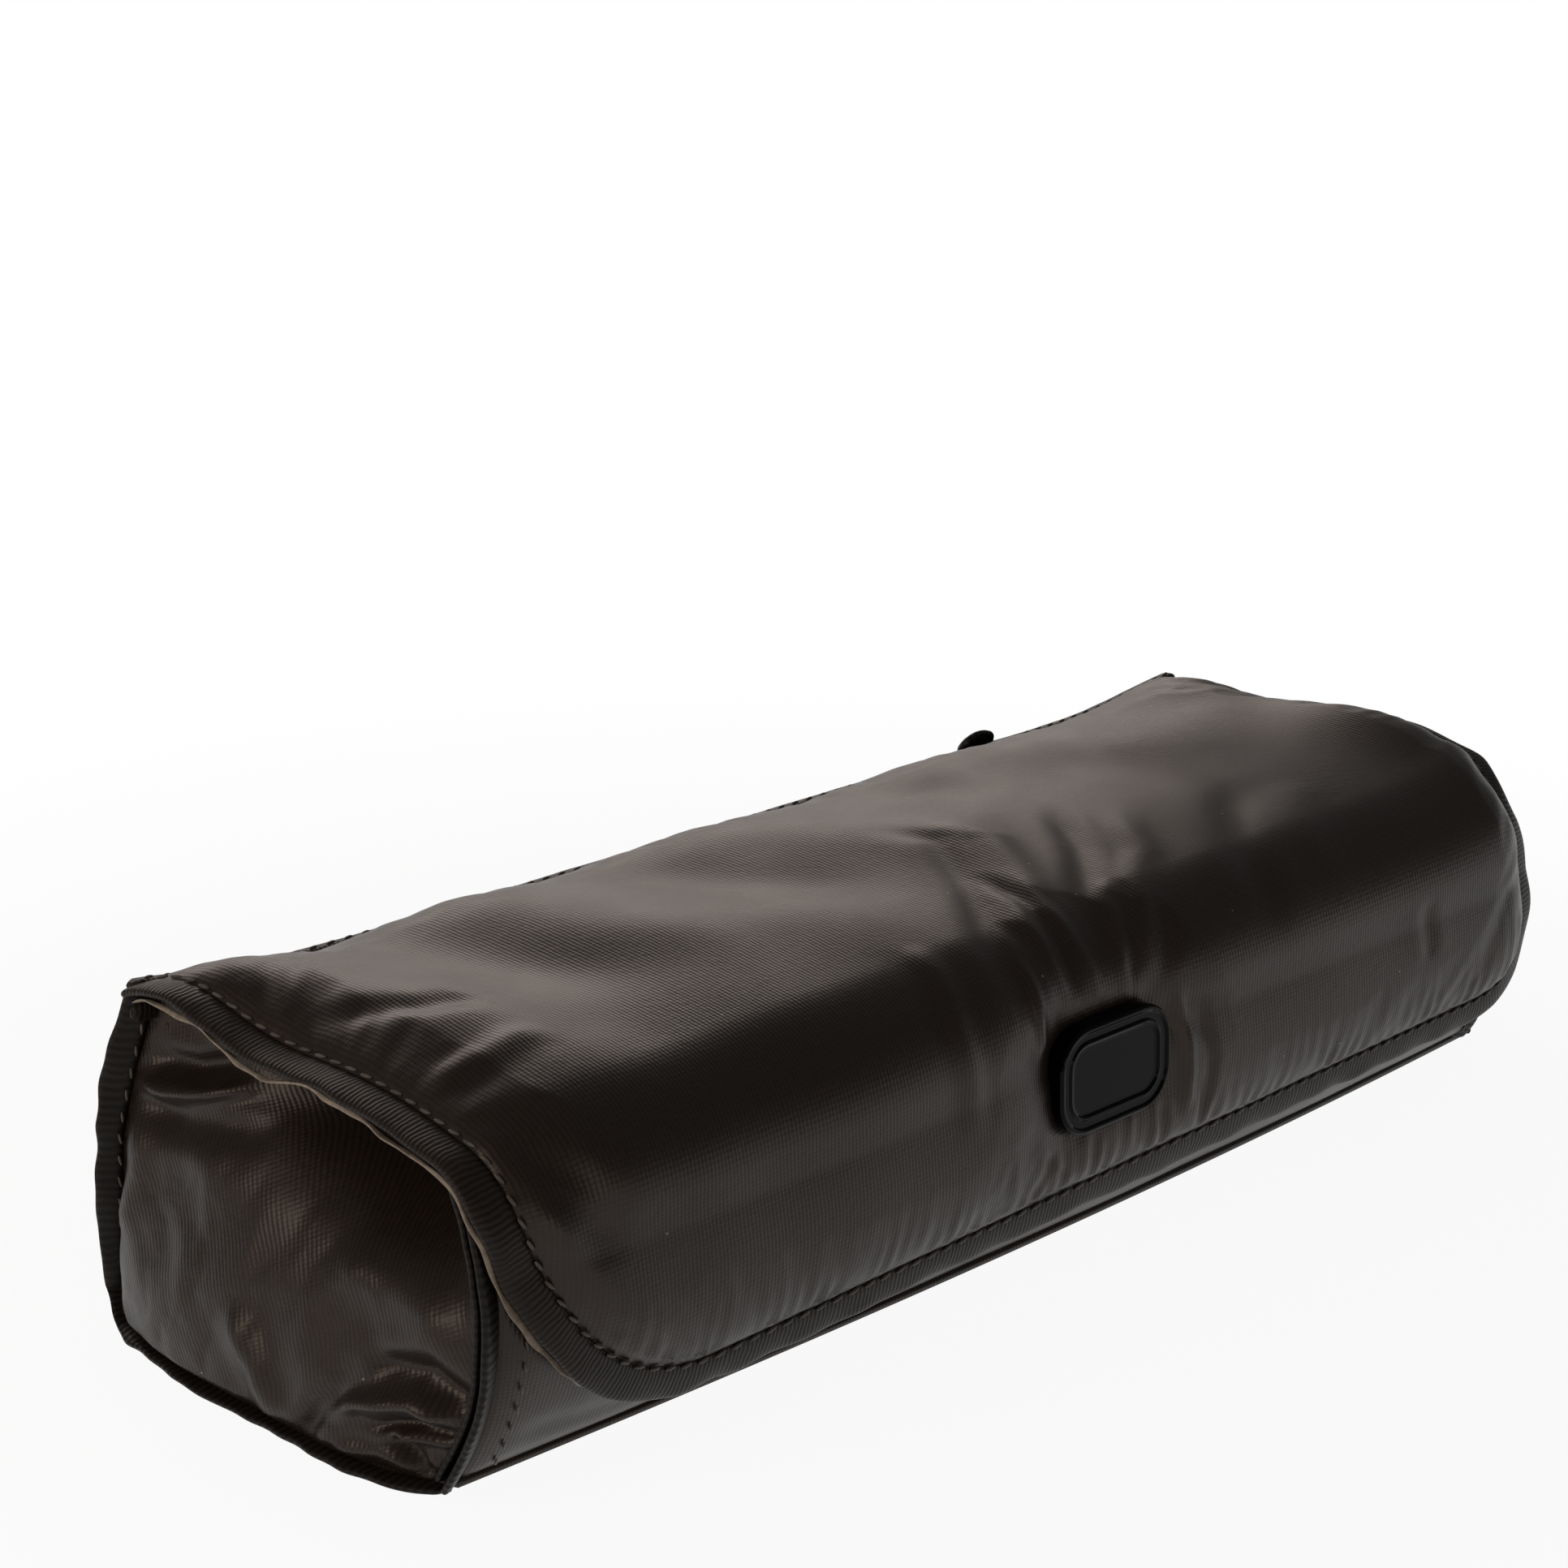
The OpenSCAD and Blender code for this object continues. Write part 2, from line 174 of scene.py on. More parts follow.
def makeTwill(name, s, specks=True):
    material, tree, shader = startMaterial(
        name,
        **{
            "Specular IOR Level": 0.5,
            "Specular Tint": linear("#fff3ea"),
            "Sheen Weight": 0.02,
            "Sheen Roughness": 0.4,
            "IOR": 1.37,
        },
    )
    uv = addNode(tree, "ShaderNodeUVMap", uv_map="cloth")
    soft = addNode(tree, "ShaderNodeTexNoise", {"Scale": 90.0, "Detail": 3.0}, {"Vector": uv.outputs[0]})
    fine = addNode(tree, "ShaderNodeTexNoise", {"Scale": 1100.0, "Detail": 3.0}, {"Vector": uv.outputs[0]})
    # the ribs wander a little
    drift = addNode(tree, "ShaderNodeMath", {1: 0.0009}, {0: soft.outputs["Fac"]}, operation="MULTIPLY")
    parts = addNode(tree, "ShaderNodeSeparateXYZ", links={0: uv.outputs[0]})
    across = addNode(
        tree, "ShaderNodeMath", links={0: parts.outputs[0], 1: drift.outputs[0]}, operation="ADD"
    )
    rib = wave(tree, across.outputs[0], s["ribPitch"])
    weft = wave(tree, parts.outputs[1], s["weftPitch"])
    woven = addNode(tree, "ShaderNodeMath", {1: 0.35}, {0: weft, 2: rib}, operation="MULTIPLY_ADD")
    uneven = addNode(
        tree,
        "ShaderNodeMath",
        {1: 1.6},
        {0: fine.outputs["Fac"], 2: woven.outputs[0]},
        operation="MULTIPLY_ADD",
    )
    bump = addNode(
        tree, "ShaderNodeBump", {"Strength": 0.45, "Distance": s["ribDepth"]}, {"Height": uneven.outputs[0]}
    )
    shade = addNode(
        tree, "ShaderNodeMath", {1: 0.27}, {0: uneven.outputs[0]}, operation="MULTIPLY", use_clamp=True
    )
    colour = blendColours(tree, shade.outputs[0], linear(s["dark"]), linear(s["light"]))
    if specks:  # a few pale specks of dust
        cells = addNode(tree, "ShaderNodeTexVoronoi", {"Scale": 190.0}, {"Vector": uv.outputs[0]})
        dot = addNode(
            tree, "ShaderNodeMath", {1: 0.03}, {0: cells.outputs["Distance"]}, operation="LESS_THAN"
        )
        pick = addNode(tree, "ShaderNodeSeparateColor", links={0: cells.outputs["Color"]})
        few = addNode(tree, "ShaderNodeMath", {1: 0.6}, {0: pick.outputs[0]}, operation="LESS_THAN")
        both = addNode(
            tree, "ShaderNodeMath", links={0: dot.outputs[0], 1: few.outputs[0]}, operation="MULTIPLY"
        )
        colour = blendColours(tree, both.outputs[0], colour, linear("#8d867e"))
    rough = addNode(
        tree,
        "ShaderNodeMapRange",
        {"To Min": s["roughLow"], "To Max": s["roughHigh"]},
        {"Value": soft.outputs["Fac"]},
    )
    tree.links.new(colour, shader.inputs["Base Color"])
    tree.links.new(rough.outputs[0], shader.inputs["Roughness"])
    tree.links.new(bump.outputs[0], shader.inputs["Normal"])
    return material


# Grosgrain binding tape: ribs square to its edge, slightly shiny and worn pale on their crests
def makeTape(name, pitch, depth, dark, light):
    material, tree, shader = startMaterial(
        name, **{"Specular IOR Level": 0.5, "Roughness": 0.45, "IOR": 1.22}
    )
    uv = addNode(tree, "ShaderNodeUVMap", uv_map="cloth")
    soft = addNode(tree, "ShaderNodeTexNoise", {"Scale": 300.0, "Detail": 4.0}, {"Vector": uv.outputs[0]})
    parts = addNode(tree, "ShaderNodeSeparateXYZ", links={0: uv.outputs[0]})
    drift = addNode(
        tree,
        "ShaderNodeMath",
        {1: 0.0012},
        {0: soft.outputs["Fac"], 2: parts.outputs[0]},
        operation="MULTIPLY_ADD",
    )
    rib = wave(tree, drift.outputs[0], pitch)
    uneven = addNode(
        tree, "ShaderNodeMath", {1: 0.9}, {0: soft.outputs["Fac"], 2: rib}, operation="MULTIPLY_ADD"
    )
    bump = addNode(
        tree, "ShaderNodeBump", {"Strength": 0.6, "Distance": depth}, {"Height": uneven.outputs[0]}
    )
    shade = addNode(
        tree, "ShaderNodeMath", {1: 0.45}, {0: uneven.outputs[0]}, operation="MULTIPLY", use_clamp=True
    )
    colour = blendColours(tree, shade.outputs[0], linear(dark), linear(light))
    tree.links.new(colour, shader.inputs["Base Color"])
    tree.links.new(bump.outputs[0], shader.inputs["Normal"])
    return material


# Spun polyester thread: two plies twisted, with a soft shine. The pale colour that the noise mixes in is
# partly a painted highlight.
def makeThread(name, dark, light):
    material, tree, shader = startMaterial(
        name, **{"Roughness": 0.45, "Specular IOR Level": 0.5, "IOR": 1.3}
    )
    place = addNode(tree, "ShaderNodeTexCoord")
    grain = addNode(
        tree, "ShaderNodeTexNoise", {"Scale": 900.0, "Detail": 3.0}, {"Vector": place.outputs["Object"]}
    )
    colour = blendColours(tree, grain.outputs["Fac"], linear(dark), linear(light))
    bump = addNode(
        tree, "ShaderNodeBump", {"Strength": 0.5, "Distance": 0.0001}, {"Height": grain.outputs["Fac"]}
    )
    tree.links.new(colour, shader.inputs["Base Color"])
    tree.links.new(bump.outputs[0], shader.inputs["Normal"])
    return material


# Moulded, pressed and plated things: an even finish with a fine grain
def makeGrained(name, dark, light, scale, depth, **shaderSettings):
    material, tree, shader = startMaterial(name, **shaderSettings)
    place = addNode(tree, "ShaderNodeTexCoord")
    grain = addNode(
        tree, "ShaderNodeTexNoise", {"Scale": scale, "Detail": 5.0}, {"Vector": place.outputs["Object"]}
    )
    colour = blendColours(tree, grain.outputs["Fac"], linear(dark), linear(light))
    bump = addNode(
        tree, "ShaderNodeBump", {"Strength": 0.4, "Distance": depth}, {"Height": grain.outputs["Fac"]}
    )
    tree.links.new(colour, shader.inputs["Base Color"])
    tree.links.new(bump.outputs[0], shader.inputs["Normal"])
    return material


satinTwill = makeTwill("coated nylon twill", twillSet)
liningCloth = makeTwill(
    "plain taffeta lining",
    {**twillSet, "ribPitch": 0.0005, "ribDepth": 0.00003, "dark": "#2c2621", "light": "#51473e"},
    specks=False,
)
bindingTape = makeTape("grosgrain binding tape", 0.0007, 0.00008, "#0d0b0a", "#3a322c")
rolledTape = makeTape("rolled seam tape", 0.0011, 0.00010, "#080706", "#2c2622")
# black thread, mixed in flecks towards a pale grey-brown that is a painted highlight on the stitch beads
blackThread = makeThread("spun polyester thread", "#12100f", "#7b726a")
paleEdgeLine = makeThread("pale edge line", "#4a4038", "#b8aa98")  # a thin pale line along the tape's edge
# Deep black, with glints on its rims
badgeRubber = makeGrained(
    "moulded glossy rubber",
    "#020202",
    "#050505",
    400.0,
    0.00001,
    **{"Roughness": 0.08, "Specular IOR Level": 0.5, "IOR": 1.16},
)
# A soft grey metal shine
nickelSteel = makeGrained(
    "nickel plated steel", "#8f9194", "#b9bbbe", 700.0, 0.00001, Metallic=1.0, Roughness=0.3
)
# Dull brown, speckled with fibres
stiffBoard = makeGrained("pressed fibre board", "#6f5d43", "#94805f", 600.0, 0.00005, Roughness=0.85)
print("stage: materials")


# Shapes: sheets are grids placed by a function of u along and v across
def gridMesh(name, cells, place, material, thick=False, ring=False):
    nu, nv = cells
    bm = bmesh.new()
    bmesh.ops.create_grid(bm, x_segments=nu, y_segments=nv, size=1.0)
    if thick:  # a second skin, told apart by its height
        bmesh.ops.solidify(bm, geom=bm.faces[:], thickness=1.0)
    co = np.array([v.co for v in bm.verts])
    u, v, inner = (co[:, 0] + 1) / 2, (co[:, 1] + 1) / 2, co[:, 2] < -0.5
    points, cloth = place(u, v, inner)
    for vert, p in zip(bm.verts, points):
        vert.co = Vector(p) * mm
    layer = bm.loops.layers.uv.new("cloth")
    bm.verts.index_update()
    for face in bm.faces:
        for loop in face.loops:
            loop[layer].uv = cloth[loop.vert.index] * mm
    if ring:
        bmesh.ops.remove_doubles(bm, verts=bm.verts[:], dist=1e-6)
        openEdges = [e for e in bm.edges if e.is_boundary]
        if openEdges:
            bmesh.ops.holes_fill(bm, edges=openEdges, sides=0)
        bmesh.ops.recalc_face_normals(bm, faces=bm.faces[:])
    return finishMesh(name, bm, material)


def finishMesh(name, bm, material, smooth=True):
    mesh = bpy.data.meshes.new(name)
    for face in bm.faces:
        face.smooth = smooth
    bm.to_mesh(mesh)
    bm.free()
    mesh.materials.append(material)
    piece = bpy.data.objects.new(name, mesh)
    scene.collection.objects.link(piece)
    return piece


def bothWays(a, b):
    return np.stack([np.broadcast_to(a, np.shape(b)) if np.ndim(a) == 0 else a, b], axis=-1)


# A path in Y and Z: outward is to the right of travel
def makePath(points):
    points = np.array(points, float)
    steps = np.linalg.norm(np.diff(points, axis=0), axis=1)
    at = np.concatenate([[0], np.cumsum(steps)])
    tangent = np.gradient(points, at, axis=0)
    tangent /= np.linalg.norm(tangent, axis=1)[:, None]
    return {"at": at, "points": points, "tangent": tangent, "length": at[-1]}


def onPath(path, s):
    s = np.asarray(s, float)
    y, z, ty, tz = (
        np.interp(s, path["at"], column)
        for column in (*path["points"].T, *path["tangent"].T)
    )
    past = s - np.clip(s, 0, path["length"])
    size = np.hypot(ty, tz)
    ty, tz = ty / size, tz / size
    return y + past * ty, z + past * tz, tz, -ty  # a point and the outward normal


def arcPoints(centre, radius, start, end, count=24):
    angles = np.radians(np.linspace(start, end, count))
    return [(centre[0] + radius * math.cos(a), centre[1] + radius * math.sin(a)) for a in angles]


def bowPoints(p, q, sagitta, count=24):
    p, q = np.array(p, float), np.array(q, float)
    t = np.linspace(0, 1, count)[:, None]
    way = (q - p) / np.linalg.norm(q - p)
    return list(p + (q - p) * t + np.array([way[1], -way[0]]) * sagitta * 4 * t * (1 - t))


def bell(distance, width):
    return np.exp(-((distance / width) ** 2))


def ease(t):
    t = np.clip(t, 0, 1)
    return t * t * (3 - 2 * t)


# A fold along a line of points: a raised or sunk band whose ends fade out
def creaseHeight(x, s, crease):
    points = crease["line"]
    count = len(points) - 1
    best = np.full_like(x, 1e9)
    share = np.zeros_like(x)
    for i in range(count):
        a, b = np.array(points[i], float), np.array(points[i + 1], float)
        way = b - a
        t = np.clip(((x - a[0]) * way[0] + (s - a[1]) * way[1]) / (way @ way), 0, 1)
        distance = np.hypot(x - a[0] - t * way[0], s - a[1] - t * way[1])
        nearer = distance < best
        best = np.where(nearer, distance, best)
        share = np.where(nearer, (i + t) / count, share)
    fade = ease(share / 0.25) * ease((1 - share) / 0.25) if crease.get("fade", True) else 1.0
    side = bell(best, crease["width"]) - 0.45 * bell(best, crease["width"] * 2.2)
    return crease["height"] * fade * side


def creases(x, s, listed):
    return sum((creaseHeight(x, s, c) for c in listed), np.zeros_like(x))


# Smooth wandering, the same each run: a few sines with fixed phases
def wander(x, s, scale, seed):
    out = np.zeros(np.broadcast(x, s).shape)
    rng = np.random.default_rng(seed)
    for _ in range(6):
        angle, phase = rng.uniform(0, 2 * math.pi, 2)
        rate = rng.uniform(0.6, 1.5) * 2 * math.pi / scale
        out = out + np.sin(rate * (x * math.cos(angle) + s * math.sin(angle)) + phase)
    return out / 6


# Cloth simulation of a flat panel, sewn down where pinned says so, pushed up by its padding
clothScale = 0.01  # the cloth is worked ten times larger than life, so a millimetre is 0.01


def simulateCloth(span, size, pinned, slack, push, frames=22, stiff=12.0):
    nu, nv = size
    bm = bmesh.new()
    bmesh.ops.create_grid(bm, x_segments=nu, y_segments=nv, size=1.0)
    co = np.array([v.co for v in bm.verts])
    u, v = (co[:, 0] + 1) / 2, (co[:, 1] + 1) / 2
    x = span[0] + (span[1] - span[0]) * u
    s = span[2] + (span[3] - span[2]) * v
    lift = 0.02 * wander(x, s, 9, 5)
    for vert, a, b, c in zip(bm.verts, x, s, lift):
        vert.co = (a * clothScale, b * clothScale, c * clothScale)
    mesh = bpy.data.meshes.new("trial")
    bm.to_mesh(mesh)
    bm.free()
    trial = bpy.data.objects.new("trial", mesh)
    scene.collection.objects.link(trial)
    group = trial.vertex_groups.new(name="sewn")
    fixed = np.nonzero(pinned(x, s))[0]
    group.add([int(i) for i in fixed], 1.0, "REPLACE")
    cloth = trial.modifiers.new("cloth", "CLOTH")
    c = cloth.settings
    c.quality = 5
    c.mass = 0.2
    c.tension_stiffness = c.compression_stiffness = stiff
    c.shear_stiffness = 4
    c.bending_stiffness = 0.3
    c.vertex_group_mass = "sewn"
    c.shrink_min = -slack
    c.use_pressure = True
    c.uniform_pressure_force = push
    c.effector_weights.gravity = 0
    cloth.collision_settings.use_collision = False
    for f in range(1, frames + 1):
        scene.frame_set(f)
    done = trial.evaluated_get(bpy.context.evaluated_depsgraph_get())
    out = np.zeros(len(done.data.vertices) * 3)
    done.data.vertices.foreach_get("co", out)
    out = out.reshape(-1, 3) / clothScale
    i, j = np.rint(u * nu).astype(int), np.rint(v * nv).astype(int)
    field = np.zeros((nu + 1, nv + 1, 3))
    field[i, j] = out - np.stack([x, s, np.zeros_like(x)], axis=1)
    bpy.data.objects.remove(trial)
    scene.frame_set(1)
    return {"span": span, "size": size, "field": field}


def sampleCloth(sim, x, s):
    (x0, x1, s0, s1), (nu, nv) = sim["span"], sim["size"]
    a = np.clip((x - x0) / (x1 - x0) * nu, 0, nu - 1e-6)
    b = np.clip((s - s0) / (s1 - s0) * nv, 0, nv - 1e-6)
    i, j = a.astype(int), b.astype(int)
    fa, fb = (a - i)[:, None], (b - j)[:, None]
    f = sim["field"]
    return (
        f[i, j] * (1 - fa) * (1 - fb)
        + f[i + 1, j] * fa * (1 - fb)
        + f[i, j + 1] * (1 - fa) * fb
        + f[i + 1, j + 1] * fa * fb
    )


# The flap's own surface: x along the case, s from the back seam down to the lower edge
flapSet = {
    "foldRadius": 11.0,
    "crownRun": 26.0,  # the top slopes down a little before the fold
    "crownDrop": 1.7,
    "leftCorner": 33.0,
    "rightCorner": 17.0,
    "edgeRise": 4.0,
    "bow": 1.9,
    "coreDepth": 2.3,
    "sewnMargin": 4.6,
    "puff": 1.5,
}
foldRadius = flapSet["foldRadius"]
sewnMargin = flapSet["sewnMargin"]
frontLineY = flapFrontY + 1.4
skinZ = flapTopZ - 0.3
crownRun, crownDrop = flapSet["crownRun"], flapSet["crownDrop"]
crownTilt = math.atan(2 * crownDrop / crownRun)
crownEnd = frontLineY + foldRadius * (1 - math.sin(crownTilt))
foldCentreZ = skinZ - crownDrop - foldRadius * math.cos(crownTilt)
seamSlope = ((0.6, 2.9), (2.0, 2.2), (4.5, 1.3), (8.0, 0.5), (12.0, 0.1))  # in from the roll, and down
flapPath = makePath(
    [(rollCentre[1] - back, skinZ - drop) for back, drop in seamSlope]
    + [
        (y, skinZ - crownDrop * max(0, (crownEnd + crownRun - y) / crownRun) ** 2)
        for y in np.linspace(rollCentre[1] - 16, crownEnd + 1.5, 24)
    ]
    + arcPoints((frontLineY + foldRadius, foldCentreZ), foldRadius, 90 + math.degrees(crownTilt), 172)
    + bowPoints(
        (frontLineY + 0.05, foldCentreZ - 1.6), (frontLineY + 0.3, flapEdgeZ), flapSet["bow"]
    )[1:]
)
flapLength = flapPath["length"]


# The ends stand up at the back corners, and the long edges sag between them
def endLift(x, s):
    left = 3.4 * bell(x + halfLength, 12) * bell(s - 3, 16)
    nearRight = bell(x - halfLength, 16)
    right = 3.4 * nearRight * bell(s - 4, 14) + 5.0 * nearRight * bell(s - 46, 18)
    middle = -0.5 * bell(s, 14) * (1 - bell(np.abs(x) - halfLength, 26))
    dip = -1.2 * bell(x + halfLength, 8) * bell(s - 22, 12)
    return left + right + middle + dip


def cornerOf(x):
    return np.where(x < 0, flapSet["leftCorner"], flapSet["rightCorner"])


def flapHalfWidth(x, s, margin):
    radius = cornerOf(x) - margin
    into = np.clip((s - flapLength + cornerOf(x)) / radius, 0, 1)
    return halfLength - margin - radius + radius * np.sqrt(np.clip(1 - into**2, 0, 1))


def sideBulge(x, s):  # the left edge swings out at the fold; the right one goes in, past a small point
    left = -1.6 * bell(s - 62, 13) + 0.5
    right = -2.2 * bell(s - 65, 8) + 0.8 * bell(s - 84, 12) + 1.5 * bell(s - 57, 3)
    return np.where(x < 0, left, right) * ease((np.abs(x) - 74) / 26)


def flapPoint(x, s, h):
    fromLeft = (x + halfLength) / (2 * halfLength)
    down = s + (0.8 - (0.8 + flapSet["edgeRise"]) * fromLeft) * np.clip(s / flapLength, 0, 1.2) ** 4
    y, z, ny, nz = onPath(flapPath, down)
    curl = -2.4 * ease((x - halfLength + 13) / 13) ** 1.5 - 0.8 * ease((-x - halfLength + 8) / 8)
    h = h + endLift(x, s) * np.clip(nz * 2, 0, 1) + curl
    return np.stack([x + sideBulge(x, s), y + ny * h, z + nz * h], axis=-1)


badgeS = flapLength - (badgeCentre[2] - flapEdgeZ)
badgeHalf = (np.array(boxMm("badge")[1]) - np.array(boxMm("badge")[0]))[[0, 2]] / 2

# Folds on the flap: they fan out of the badge over the fold, and the padding rolls across the top
flapCreases = [
    # long folds that sweep over the fold to the badge
    {"line": [(0, 26), (3, 36), (-5, 50), (-15, 62), (-21, 76)], "width": 2.6, "height": -0.65},
    {"line": [(8, 30), (10, 40), (3, 52), (-8, 64), (-15, 74)], "width": 3.0, "height": 0.6},
    {"line": [(0, 46), (-2, 56), (-5, 64), (-5, 71)], "width": 1.7, "height": -0.9},
    {"line": [(28, 34), (18, 48), (6, 60), (-1, 67)], "width": 2.2, "height": -0.6},
    {"line": [(34, 40), (24, 54), (12, 62), (5, 69)], "width": 2.6, "height": 0.5},
    {"line": [(15, 58), (8, 64), (6, 71)], "width": 1.4, "height": -0.8},
    {"line": [(56, 44), (44, 54), (36, 62), (31, 72)], "width": 3.4, "height": -0.5},
    {"line": [(64, 50), (53, 58), (45, 68)], "width": 4.0, "height": 0.3},
    # short puckers around the badge
    {"line": [(13, 72), (15, 80), (15, 92)], "width": 1.2, "height": 0.9},
    {"line": [(17, 74), (19, 84), (18, 96)], "width": 1.2, "height": -0.6},
    {"line": [(10, 87), (12, 97)], "width": 1.0, "height": -0.7},
    {"line": [(-13, 62), (-13, 76)], "width": 1.1, "height": 0.8},
    {"line": [(-3, 87), (-3, 97)], "width": 1.0, "height": -0.5},
    {"line": [(4, 87), (5, 97)], "width": 1.0, "height": 0.4},
    {"line": [(-11, 87), (-15, 97)], "width": 1.1, "height": -0.6},
    {"line": [(-24, 56), (-28, 68), (-26, 82)], "width": 2.2, "height": 0.6},
    # the padding rolls across the top in soft waves
    {"line": [(-94, -6), (-90, 12), (-86, 32), (-80, 54)], "width": 9.0, "height": 1.0, "fade": False},
    {"line": [(-78, -4), (-72, 12), (-66, 30), (-56, 50)], "width": 8.0, "height": -1.1},
    {"line": [(-62, -4), (-54, 12), (-48, 30), (-36, 50)], "width": 9.0, "height": 1.1},
    {"line": [(-42, -4), (-34, 14), (-24, 32), (-10, 46)], "width": 8.0, "height": -1.1},
    {"line": [(-22, -4), (-12, 14), (2, 32), (18, 42)], "width": 9.0, "height": 1.0},
    {"line": [(0, -4), (12, 12), (28, 28)], "width": 8.0, "height": -0.9},
    {"line": [(26, -4), (40, 12), (58, 26), (76, 32)], "width": 9.0, "height": 0.8},
    {"line": [(54, -4), (70, 12), (86, 20)], "width": 8.0, "height": -0.7},
    {"line": [(-98, 58), (-91, 66), (-84, 78)], "width": 4.0, "height": -1.4},
    {"line": [(-96, 70), (-88, 80), (-76, 92)], "width": 4.0, "height": 1.2},
    {"line": [(67, 74), (68, 84)], "width": 1.8, "height": -0.5},
    {"line": [(-95, 26), (-84, 36), (-76, 38)], "width": 2.6, "height": -0.8},
    {"line": [(-95, 48), (-86, 50), (-76, 48)], "width": 2.4, "height": 0.7},
]


def badgeDip(x, s):
    across = np.maximum(np.abs(x) - badgeHalf[0] + 3, 0)
    along = np.maximum(np.abs(s - badgeS) - badgeHalf[1] + 3, 0)
    return np.hypot(across, along) - 3  # distance outside the badge's outline


def flapSewn(x, s):
    outside = np.abs(x) >= flapHalfWidth(x, s, sewnMargin) - 0.3
    return outside | (s >= flapLength - sewnMargin - 0.3) | (s <= 0.7) | (badgeDip(x, s) < 0.4)


flapSim = None
flapSim = simulateCloth(
    (-halfLength, halfLength, 0, flapLength), (200, 104), flapSewn, slack=0.030, push=2.2
)
rise = flapSim["field"][:, :, 2]
print("stage: flap cloth, height", round(float(rise.min()), 2), round(float(rise.max()), 2))


def fromEdge(x, s, edge):  # distance in from the sewn line
    corner = cornerOf(x)
    cx, cs = halfLength - corner, flapLength - corner
    inCorner = (np.abs(x) > cx) & (s > cs)
    round_ = corner - edge - np.hypot(np.abs(x) - cx, s - cs)
    plain = np.minimum(halfLength - edge - np.abs(x), flapLength - edge - s)
    return np.maximum(np.where(inCorner, round_, plain), 0)


def flapHeight(x, s):
    inward = fromEdge(x, s, sewnMargin)
    dome = 1 - np.exp(-inward / 3.2)
    seam = 1 - np.exp(-np.maximum(s, 0) / 5.0)
    dip = 1 - 0.95 * np.exp(-np.maximum(badgeDip(x, s), 0) / 4.0)
    base = flapSet["puff"] * dome * seam * dip
    clearOfBadge = ease(np.maximum(badgeDip(x, s), 0) / 2.5)
    height = base + creases(x, s, flapCreases) * ease(inward / 5.0) * clearOfBadge
    pull = np.sin(2 * math.pi * x / 2.75 + 2.0 * wander(x, s, 16, 23)) * (0.6 + wander(x, s, 11, 24))
    low = ease((s - flapLength + 24) / 12)
    height = height + 0.16 * pull * low * (inward / 2.0) * np.exp(1 - inward / 2.0)
    height = height + 0.25 * wander(x, s, 34, 3) * dome
    if flapSim is not None:
        sim = sampleCloth(flapSim, x, s)[:, 2]
        height = height + (0.45 - 0.2 * ease((s - 66) / 20)) * np.clip(sim, -2, 4)
    lie = 1 - 0.7 * np.exp(-np.maximum(s, 0) / 9.0)  # it lies flatter near the back seam
    return base + (height - base) * lie


# rows bunch up around the lower corners, so the sewn line is round
def flapRows(v):
    cornerStart = flapLength - flapSet["leftCorner"]
    radius = flapSet["leftCorner"] - sewnMargin
    arc = radius * math.pi / 2
    along = v * (cornerStart + arc)
    angle = np.clip((along - cornerStart) / radius, 0, math.pi / 2)
    return np.where(along < cornerStart, along, cornerStart + radius * np.sin(angle))


def placeFlapPad(u, v, inner):
    s = flapRows(v)
    x = (2 * u - 1) * flapHalfWidth(2 * u - 1, s, sewnMargin)
    h = flapHeight(x, s)
    rim = np.minimum(fromEdge(x, s, sewnMargin) / 1.5, 1)
    h = np.where(inner, -flapSet["coreDepth"] * (0.75 + 0.25 * rim), h - 0.45 * (1 - rim))
    return flapPoint(x, s, h), bothWays(x, s)


flapPad = gridMesh("flapPad", (340, 142), placeFlapPad, satinTwill, thick=True)


def bendAtFold(piece):
    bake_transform(piece)


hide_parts("flap_top_cover", "flap_top_foam", "flap_front_cover", "flap_front_foam")
bendAtFold(flapPad)
print("stage: flap pad")


# Tape: a flattened tube that follows a line, wide one way and thin the other
def runAlong(points):
    return np.concatenate([[0], np.cumsum(np.linalg.norm(np.diff(points, axis=0), axis=1))])


def rowsOf(x, y, z):  # a row for each place along a tape, from numbers or whole lists
    return np.stack(np.broadcast_arrays(x, y, z), axis=-1)


def unitRows(rows):
    return rows / np.linalg.norm(rows, axis=1)[:, None]


def makeTapeTube(name, points, outward, normals, s, material, narrow=None):
    run = runAlong(points)
    narrow = np.ones(len(run)) if narrow is None else narrow
    outward = unitRows(outward)
    normals = unitRows(normals)

    def place(u, v, inner):
        at = v * run[-1]
        centre, out, up = (
            np.stack([np.interp(at, run, rows[:, k]) for k in range(3)], axis=-1)
            for rows in (points, outward, normals)
        )
        angle = 2 * math.pi * u
        wide = np.sign(np.cos(angle)) * np.abs(np.cos(angle)) ** 0.7  # squarer than an oval
        high = np.sign(np.sin(angle)) * np.abs(np.sin(angle)) ** 0.8
        slow = wander(at, 0 * at, 7, s["seed"]) + 1.2 * wander(at, 0 * at, 19, s["seed"] + 1)
        taper = np.minimum(1, 0.35 + np.minimum(at, run[-1] - at) / 1.5) * np.interp(at, run, narrow)
        reach = (s["width"] / 2) * wide * taper + s["ripple"] * slow * np.maximum(wide, 0)
        lift = (s["thick"] / 2) * high * taper
        lift = lift + s["sway"] * wander(at, 0 * at, 13, s["seed"] + 3) * np.maximum(wide, 0)
        return centre + out * reach[:, None] + up * lift[:, None], bothWays(at, wide * s["width"] / 2)

    return gridMesh(name, (20, int(run[-1] / s["step"])), place, material, ring=True)


